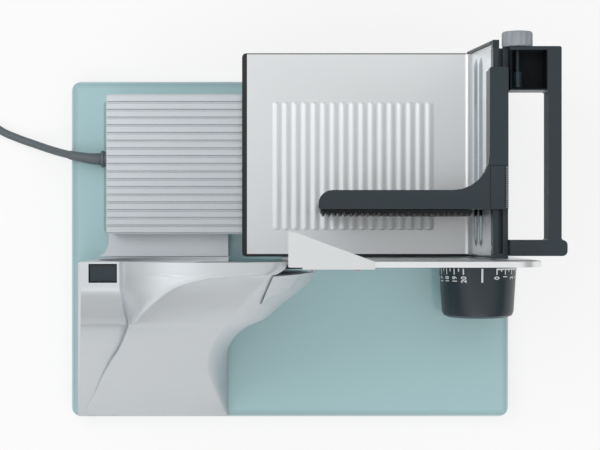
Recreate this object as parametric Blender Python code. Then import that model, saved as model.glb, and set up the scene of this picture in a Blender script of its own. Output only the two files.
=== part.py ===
"""Electric food slicer on a glass base, seen in the work order's photograph from above.

X runs along the carriage's travel, Y runs across it towards the food side, Z is up.
The glass base's middle is the place that sizes are measured from. At the end the whole
part is moved so that its own bottom centre, without the cord, is at the origin.
"""

import math

import bmesh
import bpy
import numpy as np
from mathutils import Vector

for item in list(bpy.data.objects):
    bpy.data.objects.remove(item, do_unlink=True)

# Clearances
SEAT = 0.0003
RUNNING_GAP = 0.0006
OVERRUN = 0.003
SINK = 0.0008

# Round pieces, sides of each
FINE_SIDES = 40
ROUND_SIDES = 20
SMALL_SIDES = 10
RECESS_SIDES = 64
ARC_STEPS = 22
LOCK_FLUTES = 16
SMOOTH_ANGLE = math.radians(35)

# Feet and glass base
FOOT_RADIUS = 0.009
FOOT_TOP_RADIUS = 0.008
FOOT_HEIGHT = 0.008
FOOT_INSET = 0.0115
GLASS_LENGTH = 0.360
GLASS_WIDTH = 0.276
GLASS_THICKNESS = 0.008
GLASS_CORNER = 0.008

GLASS_BOTTOM = FOOT_HEIGHT + SEAT
GLASS_TOP = GLASS_BOTTOM + GLASS_THICKNESS
DECK = GLASS_TOP + SEAT

# Screws that come up through the glass
BASE_SCREW_RADIUS = 0.0025
BASE_SCREW_HEAD_RADIUS = 0.0048
BASE_SCREW_HEAD = 0.0028
BASE_SCREW_REACH = 0.014
POST_RADIUS = 0.006
POST_HEIGHT = 0.018

# Blade and cutting plane
BLADE_RADIUS = 0.085
BLADE_X_SHARE = 0.98788
BLADE_Z = 0.145
BLADE_EDGE_LAND = 0.0004
BLADE_TOOTH_DEPTH = 0.0007
BLADE_TEETH = 36
BLADE_DISH = 0.0030
BLADE_THICKNESS = 0.0020
BLADE_BORE = 0.0062
CUT_Y = -0.0071

# Carriage bed, a hollow casting with ribs on top
BED_LENGTH_SHARE = 0.866667
BED_WIDTH = 0.110
BED_INSET_SHARE = 0.099167
BED_NEAR = 0.0127
BED_WALL = 0.003
BED_CORNER = 0.004
BED_HEIGHT = 0.0542
BED_FLARE = 0.0092
RIB_COUNT = 18
RIB_HEIGHT = 0.0018
RIB_GROOVE = 0.0011
RIB_DRAFT = 0.0004
RIB_PLATE = 0.003

BED_LENGTH = BED_LENGTH_SHARE * GLASS_LENGTH
BED_LEFT = -GLASS_LENGTH / 2 + BED_INSET_SHARE * GLASS_LENGTH
BED_RIGHT = BED_LEFT + BED_LENGTH
BED_FAR = BED_NEAR + BED_WIDTH
BED_TOP = DECK + BED_HEIGHT
RIB_TOP = BED_TOP + RIB_HEIGHT

# Bridge, the low neck between the bed and the motor housing
BRIDGE_LENGTH = 0.0955
BRIDGE_HEIGHT = 0.0335
BRIDGE_FLARE = 0.0080

# Motor housing, a tall shell with a wave-shaped front, and its doorway for the mains lead
HOUSING_INSET = 0.005
HOUSING_WIDTH_SHARE = 1.45647
WHEEL_DEPTH_SHARE = 0.316388
HOUSING_WALL = 0.0040
RIM_LEAD = 0.0015
RIM_WALL = 0.005
BLADE_CLEARANCE = 0.002
RECESS_DEPTH = 0.0091
RECESS_WALL = 0.005
LEFT_LEAN_SHARE = 0.165
VALLEY_STEP = 0.0016
VALLEY_CURVE = 2.0
CREST_ROUND = 0.0032
BROW_ROUND = 0.0014
REAR_DRAFT = 0.0058
REAR_LIP = 0.0060
DUCT_HALF = 0.012
DUCT_HEIGHT = 0.016
DEFLECTOR_THICKNESS = 0.0012

# Spindle, its bearings and the worm drive
SPINDLE_RADIUS = 0.0060
HUB_RADIUS = 0.022
HUB_HOLE = 0.0245
HUB_FRONT_GAP = 0.0003
HUB_THICKNESS = 0.0065
HUB_SOCKET = 0.004
LOCK_RADIUS = 0.016
LOCK_THICKNESS = 0.0024
LOCK_SHANK_RADIUS = 0.0040
LOCK_SLOT_WIDTH = 0.002
LOCK_SLOT_DEPTH = 0.001
LOCK_SLOT_LENGTH = 0.018
BUSH_RADIUS = 0.0095
BUSH_LENGTH = 0.0055
BOSS_RADIUS = 0.0135
GEAR_MODULE = 0.0014
WHEEL_TEETH = 38
WHEEL_WIDTH = 0.010
WORM_PITCH_RADIUS = 0.006
WORM_TIP = 0.0070
WORM_CORE = 0.0042
WORM_TURNS = 5
WHEEL_TIP_CUT = 0.0004
WHEEL_ROOT_CUT = 0.0003
NUT_RADIUS = 0.0105
NUT_THICKNESS = 0.005
CARRIER_PLATE = 0.004
CARRIER_SHELF = 0.003
CARRIER_MARGIN = 0.0197
CARRIER_SCREW_RADIUS = 0.002
CARRIER_SCREW_HEAD = 0.0036
CARRIER_SCREW_HEAD_HEIGHT = 0.0024

# Motor
MOTOR_RADIUS = 0.022
MOTOR_LENGTH = 0.072
MOTOR_NOSE_RADIUS = 0.0075
MOTOR_NOSE = 0.0022
MOTOR_SHAFT_RADIUS = 0.003
MOTOR_SHAFT_SOCKET = 0.010
MOTOR_DROP = 0.0345
WORM_LUG = 0.004
WORM_LUG_HALF = 0.007
WORM_BUSH_RADIUS = 0.005

# Rocker switch on the housing's left shoulder
SWITCH_LENGTH_SHARE = 0.722
SWITCH_WIDTH = 0.0124
SWITCH_X_SHARE = 0.570
SWITCH_REAR_GAP = 0.0016
SWITCH_BASE_HEIGHT = 0.0030
SWITCH_POCKET = 0.0112
SWITCH_PIVOT_RISE = 0.0014
ROCKER_THICKNESS = 0.0032
ROCKER_RISE = 0.0034
SWITCH_TAIL = 0.006
SWITCH_TAIL_DROP = 0.009

# Stop plate, its guide pins, guard and dial
STOP_LEAD = 0.0016
STOP_THICKNESS = 0.0040
STOP_LEFT_SHARE = 0.6376
STOP_OVERHANG = 0.0106
STOP_TOP_SHARE = 0.8235
STOP_LIFT = 0.0055
STOP_CORNER = 0.027
STOP_FOOT_CORNER = 0.005
STOP_BLADE_GAP = 0.0016
STOP_ARC_END_SHARE = 0.84
PIN_RADIUS = 0.004
PIN_LENGTH = 0.044
PIN_BOSS_RADIUS = 0.008
PIN_BOSS_LENGTH = 0.012
PIN_DIAL_SPACING = 0.0504
PIN_X_SHARE = 0.85529
PIN_RISE = 0.0284
GUARD_LENGTH = 0.0596
GUARD_NEAR_INSET = 0.0097
GUARD_DEPTH = 0.0242
GUARD_OVERHANG = 0.0012
GUARD_TIP = 0.004
GUARD_THICKNESS = 0.0010
GUARD_FLANGE = 0.012
GUARD_SCREW_SHARES = (0.27, 0.80)
GUARD_SCREW_RADIUS = 0.0014
GUARD_SCREW_HEAD = 0.0026
GUARD_SCREW_HEAD_HEIGHT = 0.0012
DIAL_INSET = 0.0173
DIAL_Z = 0.052
DIAL_ROOT_RADIUS = 0.0308
DIAL_END_RADIUS = 0.0286
DIAL_LENGTH = 0.0404
DIAL_ROUND = 0.0050
DIAL_GAP = 0.0038
DIAL_BORE_DEPTH = 0.0375
DIAL_HOLLOW_RADIUS = 0.0235
DIAL_HOLLOW_DEPTH = 0.012
DIAL_HUB_RADIUS = 0.0125
LEAD_SCREW_RADIUS = 0.005
LEAD_SCREW_BOSS = 0.009
DIAL_BUSH_RADIUS = 0.011

# Carriage: frame, tray with back wall, rail, handle
CARRIAGE_LEFT = -0.0370
CARRIAGE_LENGTH = 0.178
CARRIAGE_WIDTH = 0.159
CARRIAGE_CORNER = 0.003
FRAME_THICKNESS = 0.003
PAD_THICKNESS = 0.0020
PAD_LENGTH = 0.130
PAD_WIDTH = 0.009
PAD_INSET = 0.024
PAD_OFFSET = 0.0045
TRAY_THICKNESS = 0.0015
TRAY_LEFT_MARGIN = 0.0039
TRAY_NEAR_MARGIN = 0.0021
TRAY_FAR_MARGIN = 0.0010
TRAY_BEND = 0.005
WALL_HEIGHT = 0.0705
WALL_LEAN = 0.0102
BEAD_COUNT = 17
BEAD_PITCH = 0.00744
BEAD_WIDTH = 0.0030
BEAD_HEIGHT = 0.0008
BEAD_SLOPE = 0.0007
BEAD_LENGTH = 0.100
BEAD_FIRST = 0.0273
BEAD_NEAR = 0.0208
RAIL_WIDTH = 0.0109
RAIL_HEIGHT = 0.0125
RAIL_OVERLAP = 0.006
RAIL_SLOT_WIDTH = 0.003
RAIL_SLOT_DEPTH = 0.0048
RAIL_SLOT_INSET = 0.004
RAIL_END_WIDTH = 0.0051
RAIL_CAP = 0.0018
RAIL_CAP_WIDTH = 0.0058
HANDLE_END = 0.0036
HANDLE_INSET = 0.0023
HANDLE_FAR_INSET = 0.0051
HANDLE_HEIGHT = 0.0205
HANDLE_REACH = 0.0418
HANDLE_BAR = 0.0094
HANDLE_BAR_INSET = 0.0043
HANDLE_NEAR_ARM = 0.0116
HANDLE_FAR_BLOCK = 0.0318
HANDLE_CORNER = 0.0015
POCKET_WALL = 0.0026
POCKET_SIDE = 0.0016
POCKET_FLOOR = 0.0058
HANDLE_SCREW_RADIUS = 0.0015
HANDLE_SCREW_HEAD = 0.0028
HANDLE_SCREW_HEAD_HEIGHT = 0.0009
HANDLE_SCREW_REACH = 0.0045
HANDLE_SCREW_RISE = 0.0035
HANDLE_SCREW_INSET = 0.0058
LOCK_KNOB_RADIUS = 0.0113
LOCK_KNOB_LENGTH = 0.0108
LOCK_KNOB_FLUTE = 0.0008
LOCK_ROD_RADIUS = 0.0017
LOCK_SLEEVE_RADIUS = 0.0035
LOCK_SLEEVE_LENGTH = 0.0100
LOCK_COLLAR_RADIUS = 0.0044
LOCK_COLLAR = 0.0014
LOCK_INSET = 0.0064
LOCK_RISE = 0.0115

# Pusher that holds the food
PUSHER_ARM_LENGTH = 0.1371
PUSHER_ARM_WIDTH = 0.0138
PUSHER_ARM_Y = 0.0313
PUSHER_SADDLE_INSET = 0.0009
PUSHER_SADDLE_WIDTH = 0.0135
PUSHER_SADDLE_LENGTH = 0.1027
PUSHER_TOP = 0.0077
PUSHER_FILLET = 0.026
PUSHER_END = 0.0100
PUSHER_WEB = 0.0050
PUSHER_LIP = 0.0030
PUSHER_KEY_DEPTH = 0.0042
PUSHER_FLOAT = 0.0023
PUSHER_WALL_GAP = 0.0020
TEETH_COUNT = 26
TEETH_DEPTH = 0.0048
TEETH_BACK = 0.0012
TEETH_HEIGHT = 0.058
TEETH_LIFT = 0.006
TEETH_MARGIN = 0.004

# Guide rod of the carriage and what runs on it
ROD_RADIUS = 0.005
ROD_Y_INSET = 0.0178
ROD_RISE = 0.0274
ROD_BOSS_RADIUS = 0.009
ROD_BOSS_LENGTH = 0.007
ROD_SOCKET = 0.005
GUIDE_BUSH_RADIUS = 0.008
GUIDE_BUSH_LENGTH = 0.040
BRACKET_WIDTH = 0.030
BRACKET_INSET = 0.0957
BRACKET_BLOCK = 0.0105
BRACKET_ARM = 0.010
BRACKET_PLATE = 0.004
BRACKET_OFFSET = 0.0015
BRACKET_FLANGE = 0.020
SLOT_MARGIN = 0.002
SLOT_END_MARGIN = 0.004
SLOT_INSET = 0.0323

# Mains cord
CORD_RADIUS = 0.0032
CORD_Y = 0.0737
CORD_RISE = 0.0105
GLAND_RADIUS = 0.0058
GLAND_FLANGE_RADIUS = 0.0069
GLAND_LENGTH = 0.015
GLAND_FLANGE = 0.0022
GLAND_INSIDE = 0.0023
CORD_LEAD = 0.010
CORD_POINTS = 16
COIL_TURNS = 5
COIL_POINTS = 24
COIL_PITCH = 0.0076
COIL_LAYER = 0.0074
COIL_INNER = 0.0270
COIL_REVERSE_SHARE = 0.15
COIL_CLIMB_SHARE = 0.25
COIL_EXIT_RUN = 0.025
COIL_DROP_RUN = 0.030
CORD_FLOOR_GAP = 0.0002
PLUG_LENGTH = 0.036
PLUG_WIDTH = 0.0345
PLUG_HEIGHT = 0.0136
PLUG_TAIL = 0.012
PLUG_TAIL_RADIUS = 0.0042
PLUG_PIN_RADIUS = 0.0020
PLUG_PIN_LENGTH = 0.019
PLUG_PIN_SPACING = 0.0186
PLUG_CORNER = 0.002
PLUG_SHOULDER = 0.006
LEAD_RADIUS = 0.0013
LEAD_LEAVE = 0.006
LEAD_SWAY = 0.0008
LEAD_DROP = 0.007
LEAD_LOOP = 0.0082
MOTOR_TERMINAL = 0.0080
LEAD_POINTS = 28

ROOT = bpy.data.objects.new("slicer", None)
bpy.context.scene.collection.objects.link(ROOT)

# Finishes: colour, roughness, metallic value
FINISHES = {
    "casting": ((0.62, 0.64, 0.66), 0.38, 0.85),
    "ribbed_casting": ((0.66, 0.68, 0.69), 0.42, 0.80),
    "steel": ((0.78, 0.79, 0.80), 0.24, 1.0),
    "blade_steel": ((0.80, 0.81, 0.82), 0.18, 1.0),
    "zinc": ((0.58, 0.59, 0.60), 0.40, 1.0),
    "brass": ((0.76, 0.60, 0.32), 0.35, 1.0),
    "glass": ((0.50, 0.66, 0.67), 0.08, 0.0),
    "black_plastic": ((0.012, 0.014, 0.016), 0.50, 0.0),
    "soft_black": ((0.030, 0.040, 0.047), 0.45, 0.0),
    "grey_plastic": ((0.36, 0.38, 0.39), 0.50, 0.0),
    "pale_plastic": ((0.70, 0.71, 0.71), 0.45, 0.0),
    "white_plastic": ((0.80, 0.80, 0.77), 0.45, 0.0),
    "rubber": ((0.03, 0.03, 0.03), 0.80, 0.0),
    "cord_grey": ((0.30, 0.33, 0.35), 0.55, 0.0),
}


def place_at(axis, first, second, along):
    """Gives a point from two coordinates across an axis and one along it."""
    if axis == "X":
        return Vector((along, first, second))
    if axis == "Y":
        return Vector((first, along, second))
    return Vector((first, second, along))


def prism(outline, axis, start, end):
    """Extrudes an outline along an axis; Y takes X and Z, X takes Y and Z, Z takes X and Y."""
    body = bmesh.new()
    corners = [body.verts.new(place_at(axis, u, v, start)) for u, v in outline]
    face = body.faces.new(corners)
    made = bmesh.ops.extrude_face_region(body, geom=[face])
    moved = [part for part in made["geom"] if isinstance(part, bmesh.types.BMVert)]
    bmesh.ops.translate(body, verts=moved, vec=place_at(axis, 0, 0, end - start))
    bmesh.ops.recalc_face_normals(body, faces=body.faces[:])
    return body


def block(x0, x1, y0, y1, z0, z1):
    """A plain box between two corners."""
    return prism([(x0, y0), (x1, y0), (x1, y1), (x0, y1)], "Z", z0, z1)


def turned(profile, axis, first, second, sides, notch=0):
    """Turns a profile of (radius, place along the axis) round an axis.

    A profile that meets the axis at both ends gives a solid, one that doesn't gives a ring.
    A notch draws in every second side of the profile's widest radius.
    """
    body = bmesh.new()
    widest = max(radius for radius, along in profile)
    rings = []
    for radius, along in profile:
        if radius == 0:
            rings.append([body.verts.new(place_at(axis, first, second, along))])
            continue
        ring = []
        for side in range(sides):
            angle = math.tau * side / sides
            reach = radius
            if notch and radius == widest and side % 2:
                reach = radius - notch
            ring.append(body.verts.new(place_at(
                axis, first + reach * math.cos(angle), second + reach * math.sin(angle), along)))
        rings.append(ring)
    pairs = list(zip(rings, rings[1:]))
    if len(rings[0]) > 1 and len(rings[-1]) > 1:
        pairs.append((rings[-1], rings[0]))
    for one, two in pairs:
        if len(one) == 1 and len(two) == 1:
            continue
        for side in range(sides):
            follow = (side + 1) % sides
            if len(one) == 1:
                body.faces.new([one[0], two[side], two[follow]])
            elif len(two) == 1:
                body.faces.new([one[follow], one[side], two[0]])
            else:
                body.faces.new([one[follow], one[side], two[side], two[follow]])
    bmesh.ops.recalc_face_normals(body, faces=body.faces[:])
    return body


def loft(sections):
    """Joins closed sections of equally many points, with a face at each end."""
    body = bmesh.new()
    rings = [[body.verts.new(point) for point in section] for section in sections]
    for one, two in zip(rings, rings[1:]):
        for index in range(len(one)):
            follow = (index + 1) % len(one)
            body.faces.new([one[index], one[follow], two[follow], two[index]])
    body.faces.new(rings[0])
    body.faces.new(list(reversed(rings[-1])))
    bmesh.ops.recalc_face_normals(body, faces=body.faces[:])
    return body


def merged(*bodies):
    """Puts bodies that don't touch into one mesh, for use as one tool."""
    whole = bmesh.new()
    for body in bodies:
        copy = {vert: whole.verts.new(vert.co) for vert in body.verts}
        for face in body.faces:
            whole.faces.new([copy[vert] for vert in face.verts])
        body.free()
    return whole


def rounded(outline, radius, steps=4):
    """Rounds every corner of an outline; radius is one value or one for each corner."""
    count = len(outline)
    radii = list(radius) if isinstance(radius, (list, tuple)) else [radius] * count
    points = []
    for index in range(count):
        corner = Vector(outline[index])
        before = Vector(outline[index - 1]) - corner
        after = Vector(outline[(index + 1) % count]) - corner
        reach = radii[index]
        if reach == 0:
            points.append(tuple(corner))
            continue
        turn = before.angle(after)
        back = reach / math.tan(turn / 2)
        start = corner + before.normalized() * back
        end = corner + after.normalized() * back
        centre = corner + (before.normalized() + after.normalized()).normalized() * (
            reach / math.sin(turn / 2))
        first = start - centre
        last = end - centre
        sweep = math.pi - turn
        side = 1 if first.x * last.y - first.y * last.x > 0 else -1
        for step in range(steps + 1):
            angle = side * sweep * step / steps
            points.append((
                centre.x + first.x * math.cos(angle) - first.y * math.sin(angle),
                centre.y + first.x * math.sin(angle) + first.y * math.cos(angle)))
    return points


def rectangle(u0, u1, v0, v1):
    """Corners of a rectangle, in turn."""
    return [(u0, v0), (u1, v0), (u1, v1), (u0, v1)]


def finish(item, kind):
    """Gives an object a material of its own."""
    colour, roughness, metallic = FINISHES[kind]
    material = bpy.data.materials.new(item.name)
    material.use_nodes = True
    shader = material.node_tree.nodes["Principled BSDF"]
    shader.inputs["Base Color"].default_value = (*colour, 1)
    shader.inputs["Roughness"].default_value = roughness
    shader.inputs["Metallic"].default_value = metallic
    material.diffuse_color = (*colour, 1)
    item.data.materials.append(material)


def add(name, body, origin, kind):
    """Makes a named piece from a body that is drawn in place, with its origin where it turns."""
    origin = Vector(origin)
    bmesh.ops.translate(body, verts=body.verts[:], vec=-origin)
    mesh = bpy.data.meshes.new(name)
    body.to_mesh(mesh)
    body.free()
    mesh.shade_smooth()
    mesh.set_sharp_from_angle(angle=SMOOTH_ANGLE)
    item = bpy.data.objects.new(name, mesh)
    bpy.context.scene.collection.objects.link(item)
    item.parent = ROOT
    item.location = origin
    finish(item, kind)
    return item


def tool(body):
    """Makes a hidden helper that cuts or extends a piece."""
    mesh = bpy.data.meshes.new("tool")
    body.to_mesh(mesh)
    body.free()
    item = bpy.data.objects.new("tool", mesh)
    bpy.context.scene.collection.objects.link(item)
    item.parent = ROOT
    item.hide_render = True
    item.display_type = "WIRE"
    return item


def shape(item, body, operation):
    """Adds one Boolean step to a piece."""
    step = item.modifiers.new(operation.lower(), "BOOLEAN")
    step.operation = operation
    step.solver = "EXACT"
    step.object = tool(body)


def cut(item, *bodies):
    for body in bodies:
        shape(item, body, "DIFFERENCE")


def join(item, *bodies):
    for body in bodies:
        shape(item, body, "UNION")


def blend_table(places, values, where):
    """Reads a smooth curve through a table of values at the given places."""
    index = int(np.clip(np.searchsorted(places, where) - 1, 0, len(places) - 2))
    low, high = places[index], places[index + 1]
    share = (where - low) / (high - low)

    def slope(at):
        if at == 0 or at == len(places) - 1:
            other = 1 if at == 0 else at - 1
            return (values[other] - values[at]) / (places[other] - places[at])
        before = (values[at] - values[at - 1]) / (places[at] - places[at - 1])
        after = (values[at + 1] - values[at]) / (places[at + 1] - places[at])
        if before * after <= 0:
            return 0
        return 2 * before * after / (before + after)

    width = high - low
    a, b = values[index], values[index + 1]
    m0, m1 = slope(index) * width, slope(index + 1) * width
    return ((2 * share ** 3 - 3 * share ** 2 + 1) * a + (share ** 3 - 2 * share ** 2 + share) * m0
            + (3 * share ** 2 - 2 * share ** 3) * b + (share ** 3 - share ** 2) * m1)


# Places that several pieces share
DRIVE_DEPTH = RECESS_DEPTH + RECESS_WALL + RUNNING_GAP + MOTOR_RADIUS + WHEEL_WIDTH / 2
HOUSING_LEFT = -GLASS_LENGTH / 2 + HOUSING_INSET
HOUSING_WIDTH = HOUSING_WIDTH_SHARE * BLADE_RADIUS
HOUSING_DEPTH = DRIVE_DEPTH / WHEEL_DEPTH_SHARE
HOUSING_RIGHT = HOUSING_LEFT + HOUSING_WIDTH
BLADE_X = HOUSING_LEFT + BLADE_X_SHARE * HOUSING_WIDTH
STOP_LEFT = BLADE_X + STOP_LEFT_SHARE * BLADE_RADIUS
STOP_TOP = BLADE_Z + STOP_TOP_SHARE * BLADE_RADIUS
GUARD_LEFT = STOP_LEFT - GUARD_OVERHANG
PIN_X = BLADE_X + PIN_X_SHARE * BLADE_RADIUS
DIAL_X = BED_RIGHT - DIAL_INSET
STOP_RIGHT = BED_RIGHT + STOP_OVERHANG
BRACKET_X = BED_RIGHT - BRACKET_INSET
CARRIAGE_TRAVEL = BRACKET_X - BRACKET_WIDTH / 2 - SLOT_END_MARGIN - BED_LEFT - SLOT_INSET
HOUSING_REAR = CUT_Y + RIM_LEAD
RECESS_RADIUS = BLADE_RADIUS + BLADE_CLEARANCE
RIM_RADIUS = RECESS_RADIUS + RIM_WALL
HOUSING_HEIGHT = BLADE_Z + RIM_RADIUS - DECK
RECESS_FLOOR = HOUSING_REAR - RECESS_DEPTH
CAVITY_REAR = RECESS_FLOOR - RECESS_WALL
POST_INSET = HOUSING_WALL + POST_RADIUS * 0.8
HOUSING_POSTS = (
    (HOUSING_LEFT + POST_INSET + LEFT_LEAN_SHARE * POST_HEIGHT, CAVITY_REAR - 2 * POST_RADIUS,
     POST_HEIGHT),
    (HOUSING_RIGHT - POST_INSET, CAVITY_REAR - 2 * POST_RADIUS, POST_HEIGHT),
    (HOUSING_LEFT + 0.46 * HOUSING_WIDTH, HOUSING_REAR - 0.868 * HOUSING_DEPTH, POST_HEIGHT),
)
BED_POST_INSET = BED_WALL + POST_RADIUS * 0.8
BED_POSTS = (
    (BED_LEFT + BED_POST_INSET, BED_FAR - BED_POST_INSET, POST_HEIGHT),
    (BED_RIGHT - BED_POST_INSET, BED_FAR - BED_POST_INSET, POST_HEIGHT),
    (BED_RIGHT - BED_POST_INSET, BED_NEAR + BED_POST_INSET, POST_HEIGHT),
)
STOP_FRONT = CUT_Y + STOP_LEAD
STOP_REAR = STOP_FRONT - STOP_THICKNESS
STOP_BOTTOM = DECK + STOP_LIFT
CARRIAGE_NEAR = STOP_FRONT + RUNNING_GAP
CARRIAGE_FAR = CARRIAGE_NEAR + CARRIAGE_WIDTH
CARRIAGE_RIGHT = CARRIAGE_LEFT + CARRIAGE_LENGTH
PAD_BOTTOM = RIB_TOP + SEAT
FRAME_BOTTOM = PAD_BOTTOM + PAD_THICKNESS + SEAT
FRAME_TOP = FRAME_BOTTOM + FRAME_THICKNESS
TRAY_BOTTOM = FRAME_TOP + SEAT
TRAY_TOP = TRAY_BOTTOM + TRAY_THICKNESS
WALL_TOP = TRAY_TOP + WALL_HEIGHT
RAIL_BOTTOM = WALL_TOP - RAIL_OVERLAP
RAIL_TOP = RAIL_BOTTOM + RAIL_HEIGHT
RAIL_LEFT = CARRIAGE_RIGHT + WALL_LEAN - 0.22 * RAIL_WIDTH
RAIL_RIGHT = RAIL_LEFT + RAIL_WIDTH
KEY_X = (RAIL_LEFT + RAIL_RIGHT) / 2
GUIDE_Y = BED_FAR - ROD_Y_INSET
GUIDE_Z = DECK + ROD_RISE
PIN_Z = DECK + PIN_RISE
GEAR_RADIUS = GEAR_MODULE * WHEEL_TEETH / 2
MOTOR_X = BLADE_X - GEAR_RADIUS - WORM_PITCH_RADIUS
MOTOR_Y = CAVITY_REAR - RUNNING_GAP - MOTOR_RADIUS
MOTOR_TOP = BLADE_Z - MOTOR_DROP
DUCT_X = HOUSING_LEFT + 0.5 * HOUSING_WIDTH


def wall_face(height, offset=0):
    """X of the tray's leaning wall at a height, on its inner face or offset outwards from it."""
    lean = WALL_LEAN / WALL_HEIGHT
    return CARRIAGE_RIGHT + (height - TRAY_TOP) * lean + offset * math.sqrt(1 + lean * lean)


# Glass base and its feet

glass = add("glass_base", prism(
    rounded(rectangle(-GLASS_LENGTH / 2, GLASS_LENGTH / 2, -GLASS_WIDTH / 2, GLASS_WIDTH / 2),
            GLASS_CORNER, 5), "Z", GLASS_BOTTOM, GLASS_TOP), (0, 0, GLASS_BOTTOM), "glass")
for x, y, height in HOUSING_POSTS + BED_POSTS:
    cut(glass, turned([
        (0, GLASS_BOTTOM - OVERRUN), (BASE_SCREW_RADIUS + SEAT, GLASS_BOTTOM - OVERRUN),
        (BASE_SCREW_RADIUS + SEAT, GLASS_TOP + OVERRUN), (0, GLASS_TOP + OVERRUN)],
        "Z", x, y, SMALL_SIDES))

FOOT_PLACES = {"left_far": (-1, 1), "right_far": (1, 1), "left_near": (-1, -1), "right_near": (1, -1)}
for corner, (side_x, side_y) in FOOT_PLACES.items():
    x = side_x * (GLASS_LENGTH / 2 - FOOT_INSET)
    y = side_y * (GLASS_WIDTH / 2 - FOOT_INSET)
    add("foot_" + corner, turned([
        (0, 0), (FOOT_TOP_RADIUS, 0), (FOOT_RADIUS, FOOT_HEIGHT * 0.2), (FOOT_RADIUS, FOOT_HEIGHT),
        (0, FOOT_HEIGHT)], "Z", x, y, ROUND_SIDES), (x, y, 0), "rubber")


def base_screw(name, x, y):
    """A screw from under the glass up into a post of the casting above it."""
    head = GLASS_BOTTOM - SEAT - BASE_SCREW_HEAD
    add(name, turned([
        (0, head), (BASE_SCREW_HEAD_RADIUS * 0.8, head),
        (BASE_SCREW_HEAD_RADIUS, head + BASE_SCREW_HEAD * 0.4),
        (BASE_SCREW_HEAD_RADIUS, GLASS_BOTTOM - SEAT),
        (BASE_SCREW_RADIUS, GLASS_BOTTOM - SEAT), (BASE_SCREW_RADIUS, DECK + BASE_SCREW_REACH),
        (0, DECK + BASE_SCREW_REACH)], "Z", x, y, SMALL_SIDES), (x, y, head), "zinc")


def screw_post(x, y, height):
    """A post that stands on the glass, with a blind hole for its screw."""
    return turned([
        (0, DECK + BASE_SCREW_REACH + SEAT),
        (BASE_SCREW_RADIUS + SEAT, DECK + BASE_SCREW_REACH + SEAT),
        (BASE_SCREW_RADIUS + SEAT, DECK + SEAT), (POST_RADIUS, DECK + SEAT),
        (POST_RADIUS, DECK + height), (0, DECK + height)], "Z", x, y, SMALL_SIDES)


for place, (x, y, height) in zip(("left", "right", "front"), HOUSING_POSTS):
    base_screw("housing_screw_" + place, x, y)
for place, (x, y, height) in zip(("left", "right", "near"), BED_POSTS):
    base_screw("bed_screw_" + place, x, y)


# Carriage bed: flared walls, ribbed top, bridge to the housing, bosses for rod, pins and screws

def flare(height_share):
    """How far the casting's foot stands out at a share of the flare's height."""
    return BED_FLARE * max(0, 1 - height_share) ** 2.2


FLARE_HEIGHT = BRIDGE_HEIGHT
sections = []
for share in (0, 0.15, 0.35, 0.62, 1):
    z = DECK + share * FLARE_HEIGHT
    left = BED_LEFT - flare(share)
    sections.append([Vector((x, y, z)) for x, y in rounded(
        rectangle(left, BED_RIGHT, BED_NEAR, BED_FAR), BED_CORNER, 3)])
top_z = BED_TOP - RIB_PLATE * 0.3
sections.append([Vector((x, y, top_z)) for x, y in rounded(
    rectangle(BED_LEFT, BED_RIGHT, BED_NEAR, BED_FAR), BED_CORNER, 3)])
bed = add("slide_bed", loft(sections), (BED_LEFT, BED_NEAR, DECK), "ribbed_casting")

pitch = (BED_WIDTH - 2 * RIB_DRAFT) / RIB_COUNT
ribs = [(BED_NEAR + RIB_DRAFT, BED_TOP - RIB_PLATE), (BED_FAR - RIB_DRAFT, BED_TOP - RIB_PLATE)]
for index in reversed(range(RIB_COUNT)):
    low = BED_NEAR + RIB_DRAFT + index * pitch
    high = low + pitch
    inner = RIB_GROOVE / 2
    if index == RIB_COUNT - 1:
        ribs.append((high, BED_TOP))
    ribs += [(high - inner, BED_TOP), (high - inner - RIB_DRAFT, RIB_TOP),
             (low + inner + RIB_DRAFT, RIB_TOP), (low + inner, BED_TOP)]
ribs.append((BED_NEAR + RIB_DRAFT, BED_TOP))
rib_left = BED_LEFT + RIB_DRAFT
rib_right = BED_RIGHT - RIB_DRAFT
join(bed, prism(ribs, "X", rib_left, rib_right))

bridge_top = DECK + BRIDGE_HEIGHT
bridge_end = HOUSING_REAR + SEAT
bridge_left = BED_LEFT - 0.06 * BRIDGE_FLARE
bridge_right = bridge_left + BRIDGE_LENGTH
bridge_span = BED_NEAR - bridge_end
join(bed, prism([
    (bridge_right, BED_NEAR + SINK), (bridge_left, BED_NEAR + SINK),
    (bridge_left - 0.04 * BRIDGE_FLARE, bridge_end + 0.6 * bridge_span),
    (bridge_left - 0.18 * BRIDGE_FLARE, bridge_end + 0.36 * bridge_span),
    (bridge_left - 0.45 * BRIDGE_FLARE, bridge_end + 0.15 * bridge_span),
    (bridge_left - BRIDGE_FLARE, bridge_end), (bridge_right, bridge_end)],
    "Z", DECK, bridge_top))

cut(bed, block(BED_LEFT + BED_WALL, BED_RIGHT - BED_WALL, BED_NEAR + BED_WALL,
               BED_FAR - BED_WALL, DECK - OVERRUN, BED_TOP - RIB_PLATE))
duct_left = bridge_left + BED_WALL * 1.5
duct_right = bridge_right - BED_WALL
cut(bed, block(duct_left, duct_right, bridge_end + BED_WALL, BED_NEAR + BED_WALL + OVERRUN,
               DECK - OVERRUN, bridge_top - BED_WALL))

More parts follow.
